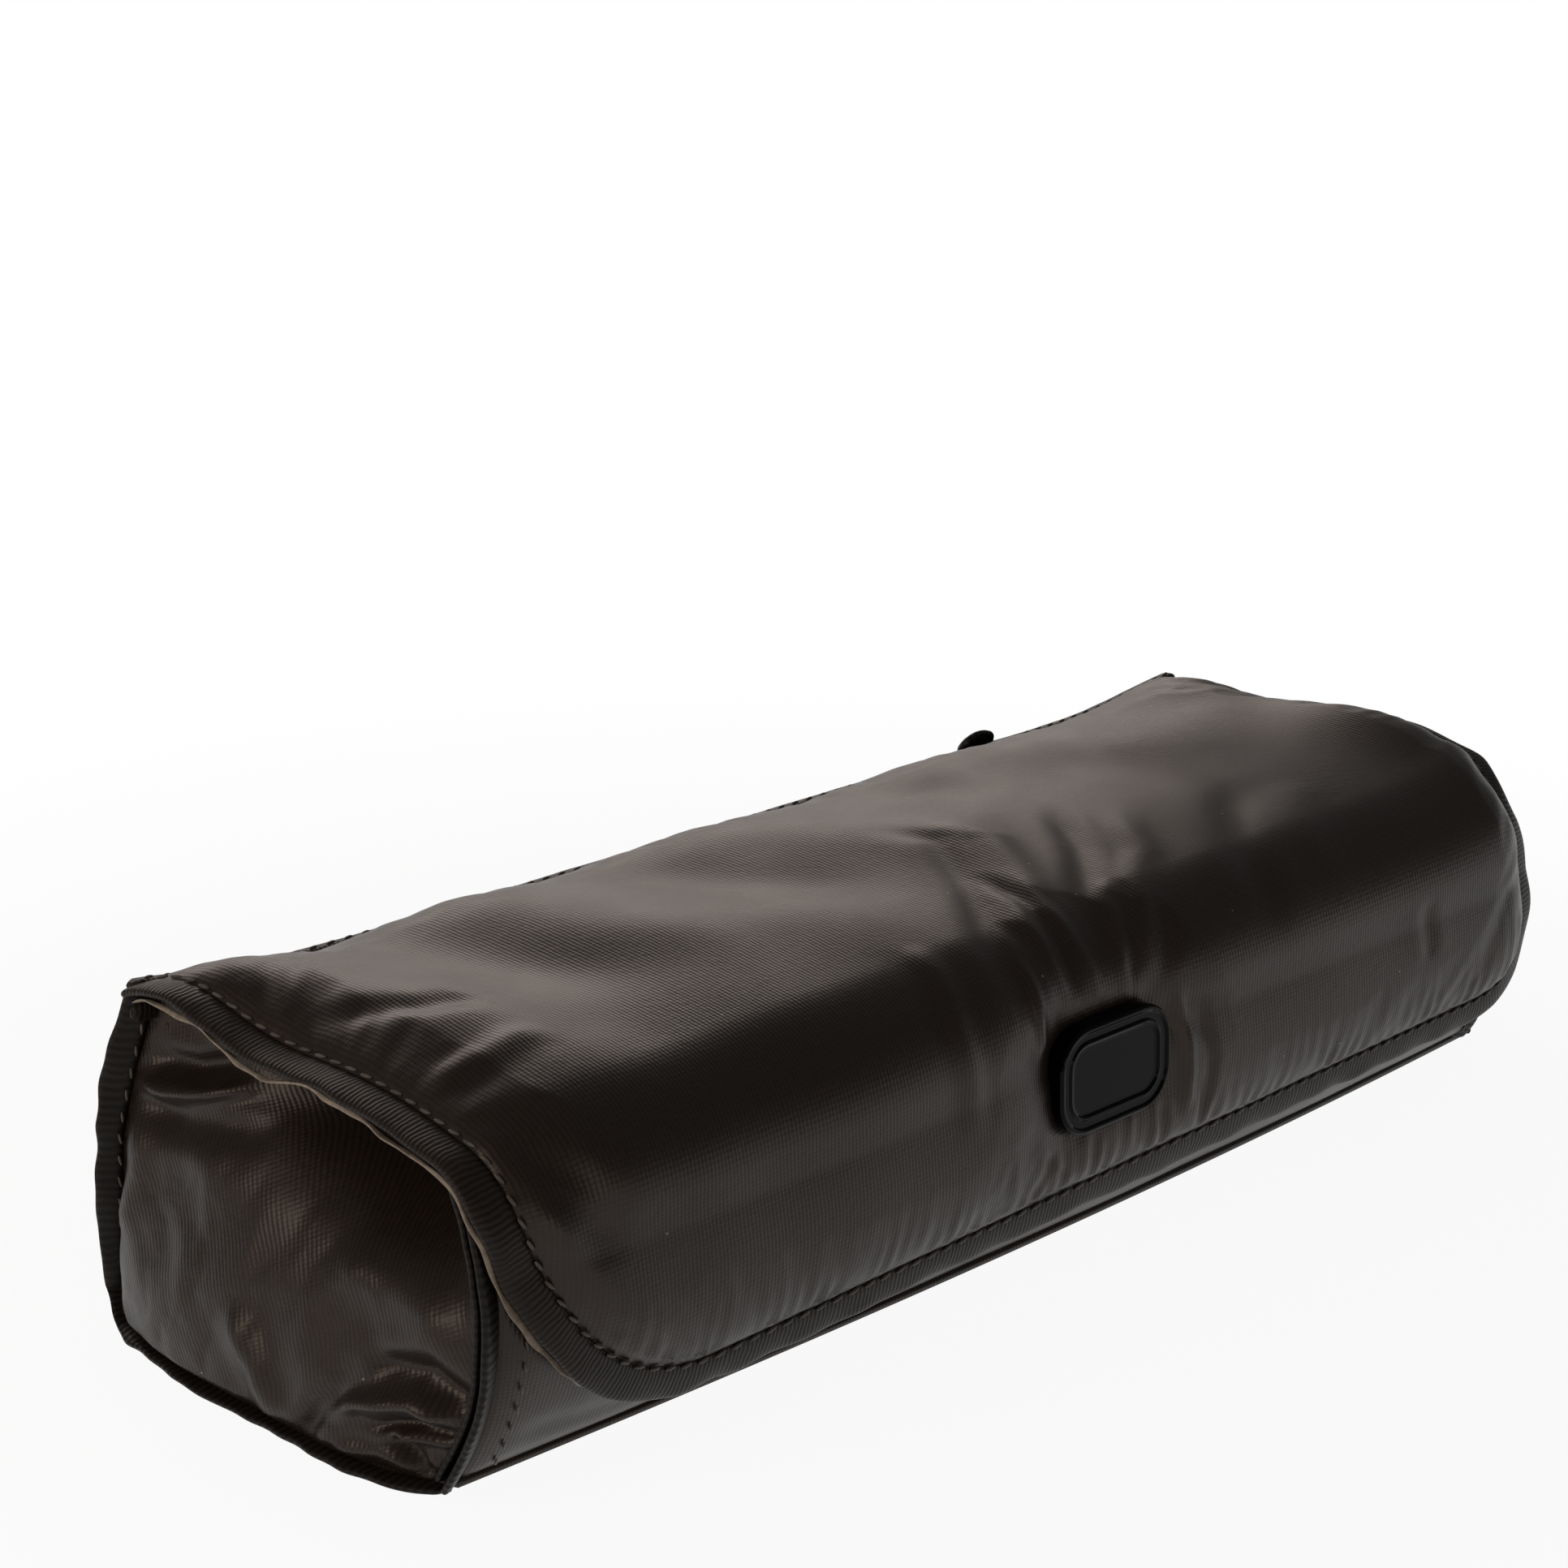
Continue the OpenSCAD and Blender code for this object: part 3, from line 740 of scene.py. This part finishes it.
def flapEdgeLine(edge, step):  # x and s from the left back corner around to the right one
    halves = []
    for side, corner in ((-1, flapSet["leftCorner"]), (1, flapSet["rightCorner"])):
        radius, cs, cx = corner - edge, flapLength - corner, halfLength - corner
        straight = [(side * (halfLength - edge), s) for s in np.arange(0, cs, step)]
        turns = np.radians(np.arange(0, 90, math.degrees(step / radius)))
        bend = [(side * (cx + radius * math.cos(a)), cs + radius * math.sin(a)) for a in turns]
        halves.append(straight + bend + [(side * x, cs + radius) for x in np.arange(cx, step / 2, -step)])
    return np.array(halves[0] + halves[1][::-1])


def flapRow(line, height):  # points on the flap, their outward way in the flap, and their normals
    way = np.gradient(line, axis=0)
    way = np.stack([-way[:, 1], way[:, 0]], axis=1)
    way /= np.linalg.norm(way, axis=1)[:, None]
    x, s = line[:, 0], line[:, 1]
    level = np.full_like(x, height) if np.ndim(height) == 0 else height
    points = flapPoint(x, s, level)
    outward = flapPoint(x + 0.5 * way[:, 0], s + 0.5 * way[:, 1], level) - points
    return points, outward, flapPoint(x, s, level + 1) - points


flapTapeSet = {"width": 4.8, "thick": 1.4, "step": 0.42, "ripple": 0.25, "sway": 0.4, "seed": 8}
tapeLine = flapEdgeLine(flapTapeSet["width"] / 2, 1.0)
tapeLine = np.concatenate([[(tapeLine[0][0], -1.0)], tapeLine, [(tapeLine[-1][0], -1.0)]])
flapBinding = makeTapeTube("flapBinding", *flapRow(tapeLine, -0.75), flapTapeSet, bindingTape)
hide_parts("flap_top_left_binding", "flap_top_right_binding", "flap_edge_binding")
bendAtFold(flapBinding)

# A thin pale line shows in places, under the tape's sides and corners
paleLineSet = {"width": 0.7, "thick": 0.35, "step": 0.5, "ripple": 0.35, "sway": 0.5, "seed": 21}
for side, name in ((-1, "leftRawEdge"), (1, "rightRawEdge")):
    line = flapEdgeLine(0.2, 1.0)
    line = line[(line[:, 0] * side > halfLength - 22) & (line[:, 1] > 1)]
    hide = 0.9 * wander(line[:, 1], line[:, 0], 14, 31)
    paleStrip = makeTapeTube(name, *flapRow(line, -1.75 + hide), paleLineSet, paleEdgeLine)
    bendAtFold(paleStrip)


# Stitches: each one a small bead of thread that dips in at both ends
def makeStitches(name, points, normals, s, material, lean=0.28):
    run = runAlong(points)
    bm = bmesh.new()
    for at in np.arange(s["pitch"], run[-1] - s["pitch"] / 2, s["pitch"]):
        place, ahead = (Vector([np.interp(a, run, points[:, k]) for k in range(3)]) for a in (at, at + 0.3))
        up = Vector([np.interp(at, run, normals[:, k]) for k in range(3)]).normalized()
        along = (ahead - place).normalized()
        along = (along + lean * up.cross(along)).normalized()
        across = up.cross(along).normalized()
        turn = Matrix((along, across, up)).transposed().to_4x4()
        size = Matrix.Diagonal((s["length"] / 2, s["radius"], s["radius"] * 0.9, 1))
        bmesh.ops.create_uvsphere(
            bm,
            u_segments=8,
            v_segments=6,
            radius=1.0,
            matrix=Matrix.Scale(mm, 4)
            @ Matrix.Translation(place)
            @ turn
            @ size
            @ Matrix.Rotation(math.pi / 2, 4, "Y"),
        )
    return finishMesh(name, bm, material)


stitchSet = {"pitch": 2.75, "length": 1.7, "radius": 0.27}
endStitchSet = {"pitch": 2.9, "length": 1.5, "radius": 0.2}
points, _, normals = flapRow(flapEdgeLine(flapTapeSet["width"] - 0.2, 0.6), 0.05)
flapStitches = makeStitches("flapStitches", points, normals, stitchSet, blackThread)
bendAtFold(flapStitches)
print("stage: flap tape and stitches")


# Inside of the flap: one lining over both halves
def placeFlapLining(u, v, inner):
    s = flapRows(v)
    x = (2 * u - 1) * (flapHalfWidth(2 * u - 1, s, sewnMargin) - 0.2)
    h = -flapSet["coreDepth"] - 0.15 - 0.5 * inner - 0.12 * wander(x, s, 24, 6)
    return flapPoint(x, s, h), bothWays(x, s)


flapLining = gridMesh("flapLining", (120, 90), placeFlapLining, liningCloth, thick=True)
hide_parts("flap_top_lining", "flap_front_lining")
bendAtFold(flapLining)


# Walls and bottom: padded panels on a path in Y and Z
gussetSet = {
    "seamX": 98.2,
    "flare": 5.0,
    "bulge": 3.0,
    "hollow": 23.0,
    "low": 1.0,
    "high": 40.4,
}


def endFlare(t, z):  # the ends spread at the foot and are drawn in under the flap
    spread = (0.6 + gussetSet["flare"] * (1 - np.abs(2 * t - 1) ** 4)) * np.clip(1 - z / 30, 0, 1) ** 1.4
    return spread - 3.4 * (1 - t) ** 2 * np.clip((z - 24) / 17, 0, 1) ** 1.3


wallSet = {"overhang": 2.0, "bow": 6.1, "backBow": 1.2}
footZ = tipAxis[2]
frontPath = makePath(
    bowPoints((footY - wallSet["overhang"], mouthZ - 0.6), (footY, footZ), wallSet["bow"], 60)
)
backPath = makePath(
    bowPoints((backY - 0.4, 1.4), (rollCentre[1] + 0.2, backTopZ), wallSet["backBow"], 40)
)
basePath = makePath([(y, 0.1) for y in np.linspace(footY - 0.2, backY - 0.2, 40)])


def footBow(x, t, z):  # the foot of the front wall swells forward between the ends
    return 2.6 * (1 - np.clip(x / 98, -1, 1) ** 2) * np.clip(t * 2 - 1, 0, 1) * np.clip(1 - z / 26, 0, 1)


def placeWall(path, span, s):
    def place(u, v, inner):
        along = v * path["length"]
        x = span[0] + (span[1] - span[0]) * u
        y, z, ny, nz = onPath(path, along)
        fromEnds = np.minimum(x - span[0], span[1] - x)
        inward = np.minimum(fromEnds, np.minimum(along, path["length"] - along))
        dome = 1 - np.exp(-inward / s["soft"])
        waves = s["wave"] * wander(x, along, 30, s["seed"])
        h = s["puff"] * dome + creases(x, along, s["creases"]) * dome + waves * dome
        h = np.where(inner, -s["depth"] * (0.55 + 0.45 * dome), h - 0.5 * s["depth"] * (1 - dome) * 0.6)
        t = np.clip((backY - y) / (backY - footY), 0, 1)
        y = y - footBow(x, t, z)
        x = x * (1 + endFlare(t, z) / span[1])
        return np.stack([x, y + ny * h, z + nz * h], axis=-1), bothWays(x, along)

    return place


def makeWall(name, path, half, s, nodes, body):
    piece = gridMesh(name, (180, 50), placeWall(path, (-half, half), s), satinTwill, thick=True)
    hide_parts(*nodes)
    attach(piece, body)
    return piece


panelHalf = halfLength - tapeWidth + 2.5
frontSet = {
    "puff": 0.6, "soft": 2.5, "depth": 2.4, "wave": 0.25, "seed": 12,
    "creases": [
        {"line": [(-96, 20), (-88, 26), (-80, 34)], "width": 3.0, "height": 0.5},
        {"line": [(-94, 34), (-84, 36), (-70, 37)], "width": 2.0, "height": -0.4},
    ],
}
backSet = {
    "puff": 0.6, "soft": 3.0, "depth": 2.4, "wave": 0.3, "seed": 15,
    "creases": [
        {"line": [(-92, 8), (-70, 16), (-40, 14)], "width": 4.0, "height": -0.4},
        {"line": [(20, 30), (48, 22), (86, 28)], "width": 4.0, "height": -0.4},
    ],
}
baseSet = {"puff": 0.0, "soft": 2.0, "depth": 2.8, "wave": 0.0, "seed": 1, "creases": []}
frontPanel = makeWall(
    "frontPanel", frontPath, panelHalf, frontSet, ["front_cover", "front_foam"], "front_wall"
)
backPanel = makeWall("backPanel", backPath, panelHalf, backSet, ["back_cover", "back_foam"], "case")
bottomPanel = makeWall(
    "bottomPanel", basePath, panelHalf, baseSet, ["bottom_cover", "bottom_foam"], "case"
)


# Linings lie on the inside of the walls and of the bottom
def makeLining(name, path, half, depth, node, body, span):
    def place(u, v, inner):
        along = (span[0] + (span[1] - span[0]) * v) * path["length"]
        x = half * (2 * u - 1)
        h = -depth - 0.4 * inner - 0.15 * (1 + wander(x, along, 26, 9))
        y, z, ny, nz = onPath(path, along)
        return np.stack([x, y + ny * h, z + nz * h], axis=-1), bothWays(x, along)

    piece = gridMesh(name, (90, 30), place, liningCloth, thick=True)
    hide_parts(node)
    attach(piece, body)


innerHalf = boxMm("bottom_lining")[1][0]
liningDepth = 2.55
bottomDepth = floorTop - 0.35
for name, path, depth, node, body, under, span in (
    ("frontLining", frontPath, liningDepth, "front_lining", "front_wall", frontPanel, (0.04, 0.93)),
    ("backLining", backPath, liningDepth, "back_lining", "case", backPanel, (0.08, 0.97)),
    ("bottomLining", basePath, bottomDepth, "bottom_lining", "case", "bottom_board", (0.07, 0.93)),
):
    makeLining(name, path, innerHalf, depth, node, body, span)
print("stage: walls and bottom")


# Ends: a gusset of loose twill between the walls, pushed in under the flap
def wallY(path, z):
    order = np.argsort(path["points"][:, 1])
    return np.interp(z, path["points"][order, 1], path["points"][order, 0])


# Places on the gusset are in millimetres: across from its back edge, and up from its foot
gussetCreases = [
    {"line": [(0, 31.5), (8, 33), (14, 35.5), (22, 40)], "width": 1.5, "height": 2.4},
    {"line": [(2, 35), (10, 37), (17, 41)], "width": 1.7, "height": -1.6},
    {"line": [(2, 29), (12, 30), (26, 33)], "width": 2.4, "height": -1.5},
    {"line": [(3, 31), (5, 22), (4, 12)], "width": 3.2, "height": 1.5},
    {"line": [(13, 28), (16, 20), (12, 9)], "width": 4.5, "height": -1.0},
    {"line": [(38, 23), (50, 24), (64, 20)], "width": 4.2, "height": 2.0},
    {"line": [(27, 14), (34, 7), (40, 0)], "width": 2.6, "height": 1.7},
    {"line": [(43, 0), (45, 5), (49, 9)], "width": 2.0, "height": -1.9},
    {"line": [(44, 4), (50, 8.5), (57, 11), (64, 9.5)], "width": 1.5, "height": 2.2},
    {"line": [(48, 13), (57, 15), (64, 12)], "width": 2.2, "height": -2.6},
    {"line": [(51, 5.5), (58, 7.8), (64, 7)], "width": 1.1, "height": -1.9},
    {"line": [(54, 6), (59, 6.8), (64, 6.5)], "width": 1.0, "height": 1.7},
    {"line": [(55, 6), (59, 3.5), (63, 0.5)], "width": 0.9, "height": -2.0},
    {"line": [(48, 1.0), (55, 2.6), (62, 2)], "width": 1.3, "height": 1.2},
]


gussetSpan = (64, 42)  # the flat gusset, wide and high
gussetSim = None
gussetSim = simulateCloth(
    (0, gussetSpan[0], 0, gussetSpan[1]),
    (92, 60),
    lambda x, s: (x < 0.5) | (x > 63.5) | (s < 0.5) | (s > 41.5),
    slack=0.035,
    push=1.0,
    frames=18,
)
rise = gussetSim["field"][:, :, 2]
print("stage: gusset cloth, height", round(float(rise.min()), 2), round(float(rise.max()), 2))


def gussetOut(t, r):  # how far the cloth stands out past its seams
    s = gussetSet
    edge = ease(np.minimum(np.minimum(t, 1 - t) / 0.07, r / 0.05))
    bulge = s["bulge"] * np.exp(-(((t - 0.34) / 0.38) ** 2) - ((r - 0.26) / 0.34) ** 2)
    below = np.maximum(0.98 - r, 0)
    hollow = -s["hollow"] * np.exp(-(((t - 0.74) / 0.25) ** 2) - (below / 0.27) ** 2)
    hollow = hollow - 3.5 * ease((r - 0.6) / 0.4) * np.sin(math.pi * np.clip(t, 0, 1)) ** 0.7
    out = (bulge + hollow) * edge
    across, up = t * gussetSpan[0], r * gussetSpan[1]
    clear = ease(np.minimum(np.minimum(t, 1 - t) / 0.03, r / 0.04))
    out = out + creases(across, up, gussetCreases) * clear
    if gussetSim is not None:
        out = out + 0.35 * sampleCloth(gussetSim, across, up)[:, 2] * ease(1.4 - r)
    return out


def placeGusset(side, depth, thick):
    def place(u, v, inner):
        t, r = (u, v) if side < 0 else (1 - u, v)
        s = gussetSet
        z = s["low"] + (s["high"] - s["low"]) * r
        back, front = wallY(backPath, z) + 0.2, wallY(frontPath, z) + 1.2
        lean = 3.0 * np.sin(math.pi * t) ** 0.8 * ease((r - 0.7) / 0.3)  # the mouth sags a little
        z = z + 2.2 * (1 - t) ** 4 * r**4
        y = back + (front - back) * t
        x = s["seamX"] + endFlare(t, z) + gussetOut(t, r) - depth - thick * inner
        turn = math.radians(32)
        across, up = t * gussetSpan[0], r * gussetSpan[1]
        cloth = bothWays(
            across * math.cos(turn) + up * math.sin(turn), up * math.cos(turn) - across * math.sin(turn)
        )
        return np.stack([side * x, y, z - lean], axis=-1), cloth

    return place


for side, name in ((-1, "left"), (1, "right")):
    gusset = gridMesh(name + "Gusset", (150, 100), placeGusset(side, 0.0, 0.5), satinTwill, thick=True)
    lining = gridMesh(name + "GussetLining", (64, 42), placeGusset(side, 0.9, 0.4), liningCloth, thick=True)
    for piece, node, slot in (
        (gusset, "_gusset", "satin_twill"),
        (lining, "_gusset_lining", "lining_cloth"),
    ):
        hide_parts(name + node)
        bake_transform(piece)
print("stage: gussets")


# Tapes of the ends: along the back wall and the bottom, and up the front wall
endTapeSet = {"width": 3.7, "thick": 1.5, "step": 0.42, "ripple": 0.35, "sway": 0.6, "seed": 40}
lipSet = {"width": 3.4, "thick": 1.15, "step": 0.45, "ripple": 0.25, "sway": 0.25, "seed": 52}


def endFrames(path, x, inset, way, side, span=(0, 1), share=1.0):
    along = np.linspace(span[0], span[1], 90) * path["length"]
    y, z, ny, nz = onPath(path, along)
    flare = endFlare(np.clip((backY - y) / (backY - footY), 0, 1), z)
    flare = np.where(flare > 0, share * flare, flare)
    points = rowsOf(side * (x + flare), y - ny * inset, z - nz * inset)
    outward = rowsOf(side * way[0], ny * way[1], nz * way[1])
    normals = rowsOf(side * way[1], -ny * way[0], -nz * way[0])
    return points, outward, normals


for side, name in ((-1, "left"), (1, "right")):
    backFrames = endFrames(backPath, 99.4, -1.3, (0.74, 0.67), side, (1.06, 0.06), 0.0)
    footFrames = endFrames(basePath, 98.8, 0.9, (0.97, 0.10), side, (0.93, 0.0))
    rows = [np.concatenate(pair) for pair in zip(backFrames, footFrames)]
    # the cloth bulges over the tape near the foot
    narrow = np.interp(rows[0][:, 2], [0, 3, 13], [0.62, 0.66, 1.0])
    endTape = makeTapeTube(name + "EndTape", *rows, endTapeSet, rolledTape, narrow)
    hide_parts(name + "_end_binding")
    lipX = 98.9 if side < 0 else 94.6  # the right end is drawn in under the flap
    lipFrames = endFrames(frontPath, lipX, 0.2, (0.90, 0.43), side)
    frontTape = makeTapeTube(name + "FrontTape", *lipFrames, lipSet, rolledTape)
    lipFrames = endFrames(frontPath, lipX - 0.4, 1.75, (0.95, 0.30), side)
    gussetLip = makeTapeTube(name + "GussetLip", *lipFrames, lipSet, rolledTape)
    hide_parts("front_" + name + "_binding")
    points, _, normals = endFrames(backPath, 98.6, -0.2, (0.74, 0.67), side, (0.2, 1.0), 0.0)
    backStitches = makeStitches(
        name + "BackStitches", points + 0.8 * normals, normals, endStitchSet, blackThread
    )
    y, z, ny, nz = onPath(frontPath, np.linspace(0.03, 0.97, 80) * frontPath["length"])
    points = rowsOf(side * (halfLength - 5.6), y + ny * 0.62, z + nz * 0.62)
    normals = rowsOf(0, ny, nz)
    frontStitches = makeStitches(name + "FrontStitches", points, normals, endStitchSet, blackThread)
    for piece in (endTape, backStitches):
        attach(piece, "case")
    for piece in (frontTape, gussetLip, frontStitches):
        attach(piece, "front_wall")

# The mouth of the front wall, and the lip of the back seam with its stitches
mouthSet = {"width": 5.0, "thick": 3.2, "step": 0.6, "ripple": 0.15, "sway": 0.2, "seed": 60}
xs = np.linspace(-halfLength + 1.5, halfLength - 1.5, 160)
y, z, ny, nz = onPath(frontPath, 1.2)
mouthBinding = makeTapeTube(
    "mouthBinding",
    rowsOf(xs, y - ny * 1.5, z - nz * 1.5),
    rowsOf(0 * xs, 0.06, 1),
    rowsOf(0 * xs, -1, 0.06),
    mouthSet,
    bindingTape,
)
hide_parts("mouth_binding")
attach(mouthBinding, "front_wall")

rollSet = {"width": 3.2, "thick": 1.7, "step": 0.6, "ripple": 0.3, "sway": 0.3, "seed": 64}
sag = endLift(xs, 0 * xs) * 0.8
roll = makeTapeTube(
    "backSeamRoll",
    rowsOf(xs, rollCentre[1], rollCentre[2] - 1.7 + sag),
    rowsOf(0 * xs, 0.97, -0.25),
    rowsOf(0 * xs, 0.25, 0.97),
    rollSet,
    bindingTape,
)
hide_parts("back_seam_roll")
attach(roll, "flap_top")
rollStitches = makeStitches(
    "backSeamStitches",
    rowsOf(xs, rollCentre[1] - 0.3, rollCentre[2] + sag - 0.75),
    rowsOf(0 * xs, 0.25, 1),
    stitchSet,
    blackThread,
)
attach(rollStitches, "flap_top")

# The fold of cloth between the back wall and the roll
webSet = {"thick": 1.1, "step": 0.8, "ripple": 0.0, "sway": 0.0, "seed": 66}
webLow, webHigh = backTopZ - 1.2, rollCentre[2] - 1.5
web = makeTapeTube(
    "backSeamWeb",
    rowsOf(xs, rollCentre[1] - 0.2, (webLow + webHigh) / 2),
    rowsOf(0 * xs, 0, 1),
    rowsOf(0 * xs, -1, 0),
    {**webSet, "width": webHigh - webLow + 0.6},
    bindingTape,
)
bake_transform(web)

# A folded tab of tape that is caught in the back seam
tabSet = {"width": 3.2, "thick": 1.5, "step": 0.3, "ripple": 0.1, "sway": 0.1, "seed": 70}
tabXs = np.linspace(tabCentre[0] - 3.5, tabCentre[0] + 3.5, 24)
arch = 0.9 * np.cos((tabXs - tabCentre[0]) / 3.5 * math.pi / 2)
tab = makeTapeTube(
    "backSeamTab",
    rowsOf(tabXs, tabCentre[1] + 0.6, tabCentre[2] - 2.4 + arch),
    rowsOf(0 * tabXs, -0.64, 0.77),
    rowsOf(0 * tabXs, 0.77, 0.64),
    tabSet,
    rolledTape,
)
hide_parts("back_seam_tab")
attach(tab, "flap_top")
print("stage: tapes")

# CAD nodes that stay as they are
for node, material in (
    ("bottom_board", stiffBoard),
    ("front_keepers", nickelSteel),
    ("flap_magnets", nickelSteel),
    ("badge_studs", nickelSteel),
    ("badge_backplate", nickelSteel),
):
    bpy.data.objects[node].material_slots[0].material = material


# Badge: a rounded plate with two raised rims and a bare face
badgeSet = {
    "corner": 5.3,
    "larger": 0.8,
    "tilt": 2.7,
    "bevel": 0.00012,
    # how far in, and how far up
    "steps": [(0.0, 2.25), (0.3, 0.3), (0.35, 0.0), (0.3, -0.32), (0.85, 0.0), (0.2, 0.24)]
    + [(0.28, 0.0), (0.25, -0.3), (0.5, -0.04)],
}


def roundedOutline(bm, half, corner, segments=10):
    cx, cz = half[0] - corner, half[1] - corner
    verts = []
    for k, (sx, sz) in enumerate(((1, 1), (-1, 1), (-1, -1), (1, -1))):
        for a in np.radians(np.linspace(90 * k, 90 * k + 90, segments)):
            verts.append(bm.verts.new((sx * cx + corner * math.cos(a), sz * cz + corner * math.sin(a), 0.0)))
    return verts


def makeBadge(s):
    bm = bmesh.new()
    face = bm.faces.new(roundedOutline(bm, badgeHalf + s["larger"], s["corner"]))
    for inset, rise in s["steps"]:
        if inset == 0.0:
            made = bmesh.ops.extrude_discrete_faces(bm, faces=[face])["faces"]
            face = made[0]
        else:
            bmesh.ops.inset_region(bm, faces=[face], thickness=inset, use_even_offset=True)
        bmesh.ops.translate(bm, verts=face.verts[:], vec=(0, 0, rise))
    return bm


tilt = math.radians(badgeSet["tilt"])
seat = flapPoint(np.array([0.0]), np.array([badgeS]), np.array([-0.15]))[0]
badgeBm = makeBadge(badgeSet)
bmesh.ops.transform(
    badgeBm,
    verts=badgeBm.verts[:],
    matrix=Matrix.Scale(mm, 4)
    @ Matrix.Translation(Vector(seat))
    @ Matrix.Rotation(math.pi / 2 - tilt, 4, "X"),
)
bmesh.ops.recalc_face_normals(badgeBm, faces=badgeBm.faces[:])
badge = finishMesh("badgePlate", badgeBm, badgeRubber, smooth=False)
rounded = badge.modifiers.new("rounded", "BEVEL")
rounded.width = badgeSet["bevel"]
rounded.segments = 2
rounded.limit_method = "ANGLE"
rounded.angle_limit = math.radians(25)
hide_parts("badge")
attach(badge, "flap_front")
print("stage: badge")


# Lights, floor and backdrop
def backdropRays(tree):  # 1 on the rays that show the background as it is: seen, mirrored or through glass
    path = addNode(tree, "ShaderNodeLightPath")
    seen = addNode(
        tree,
        "ShaderNodeMath",
        links={0: path.outputs["Is Camera Ray"], 1: path.outputs["Is Glossy Ray"]},
        operation="MAXIMUM",
    )
    through = addNode(
        tree,
        "ShaderNodeMath",
        links={0: seen.outputs[0], 1: path.outputs["Is Transmission Ray"]},
        operation="MAXIMUM",
    )
    return through.outputs[0]


floorSet = {
    "reach": 12.0,
    "colour": "#e6e6e6",
    "near": 0.93,
    "fadeFrom": 0.11,
    "fadeTo": 0.24,
}


def floorMaterial(s):  # matt paper: it keeps the shadow near the object and clears to white further out
    material = bpy.data.materials.new("matt paper")
    material.use_nodes = True
    tree = material.node_tree
    tree.nodes.clear()
    plain = addNode(tree, "ShaderNodeBsdfDiffuse", {"Color": linear(s["colour"])})
    white = addNode(tree, "ShaderNodeEmission", {"Color": (1, 1, 1, 1), "Strength": 1.0})
    place = addNode(tree, "ShaderNodeTexCoord")
    away = addNode(tree, "ShaderNodeVectorMath", links={0: place.outputs["Object"]}, operation="LENGTH")
    clear = addNode(
        tree,
        "ShaderNodeMapRange",
        {"From Min": s["fadeFrom"], "From Max": s["fadeTo"], "To Min": s["near"], "To Max": 1.0},
        {"Value": away.outputs["Value"]},
    )
    share = addNode(
        tree, "ShaderNodeMath", links={0: backdropRays(tree), 1: clear.outputs[0]}, operation="MULTIPLY"
    )
    mix = addNode(
        tree, "ShaderNodeMixShader", links={0: share.outputs[0], 1: plain.outputs[0], 2: white.outputs[0]}
    )
    output = addNode(tree, "ShaderNodeOutputMaterial")
    tree.links.new(mix.outputs[0], output.inputs["Surface"])
    return material


def makeFloor(s):
    bm = bmesh.new()
    bmesh.ops.create_grid(bm, x_segments=1, y_segments=1, size=s["reach"])
    finishMesh("floor", bm, floorMaterial(s))


def makeWorld(strength):
    world = bpy.data.worlds.new("studio")
    scene.world = world
    world.use_nodes = True
    tree = world.node_tree
    tree.nodes.clear()
    back = addNode(tree, "ShaderNodeBackground", {"Color": (1, 1, 1, 1), "Strength": strength})
    output = addNode(tree, "ShaderNodeOutputWorld")
    tree.links.new(back.outputs[0], output.inputs["Surface"])


def softBox(name, s):
    data = bpy.data.lights.new(name, "AREA")
    data.shape = "RECTANGLE"
    data.size, data.size_y = s["size"]
    data.energy = s["watts"]
    data.color = linear(s["colour"])[:3]
    lamp = bpy.data.objects.new(name, data)
    lamp.location = s["place"]
    lamp.rotation_euler = (Vector((0, 0, 0.02)) - Vector(s["place"])).to_track_quat("-Z", "Y").to_euler()
    scene.collection.objects.link(lamp)


worldStrength = 0.15
lightSets = {
    "backSoftBox": {
        "place": (0.57, 1.05, 0.45),
        "size": (1.2, 0.32),
        "watts": 4.2,
        "colour": "#fff0e6",
    },
    "leftSoftBox": {
        "place": (-0.92, 0.16, 0.44),
        "size": (0.3, 0.3),
        "watts": 2.8,
        "colour": "#fff0e4",
    },
    "frontSoftBox": {
        "place": (-0.30, -0.98, 0.12),
        "size": (0.5, 0.2),
        "watts": 0.8,
        "colour": "#fff2e6",
    },
}
makeFloor(floorSet)
makeWorld(worldStrength)
for name, lightSet in lightSets.items():
    softBox(name, lightSet)
print("stage: lights")
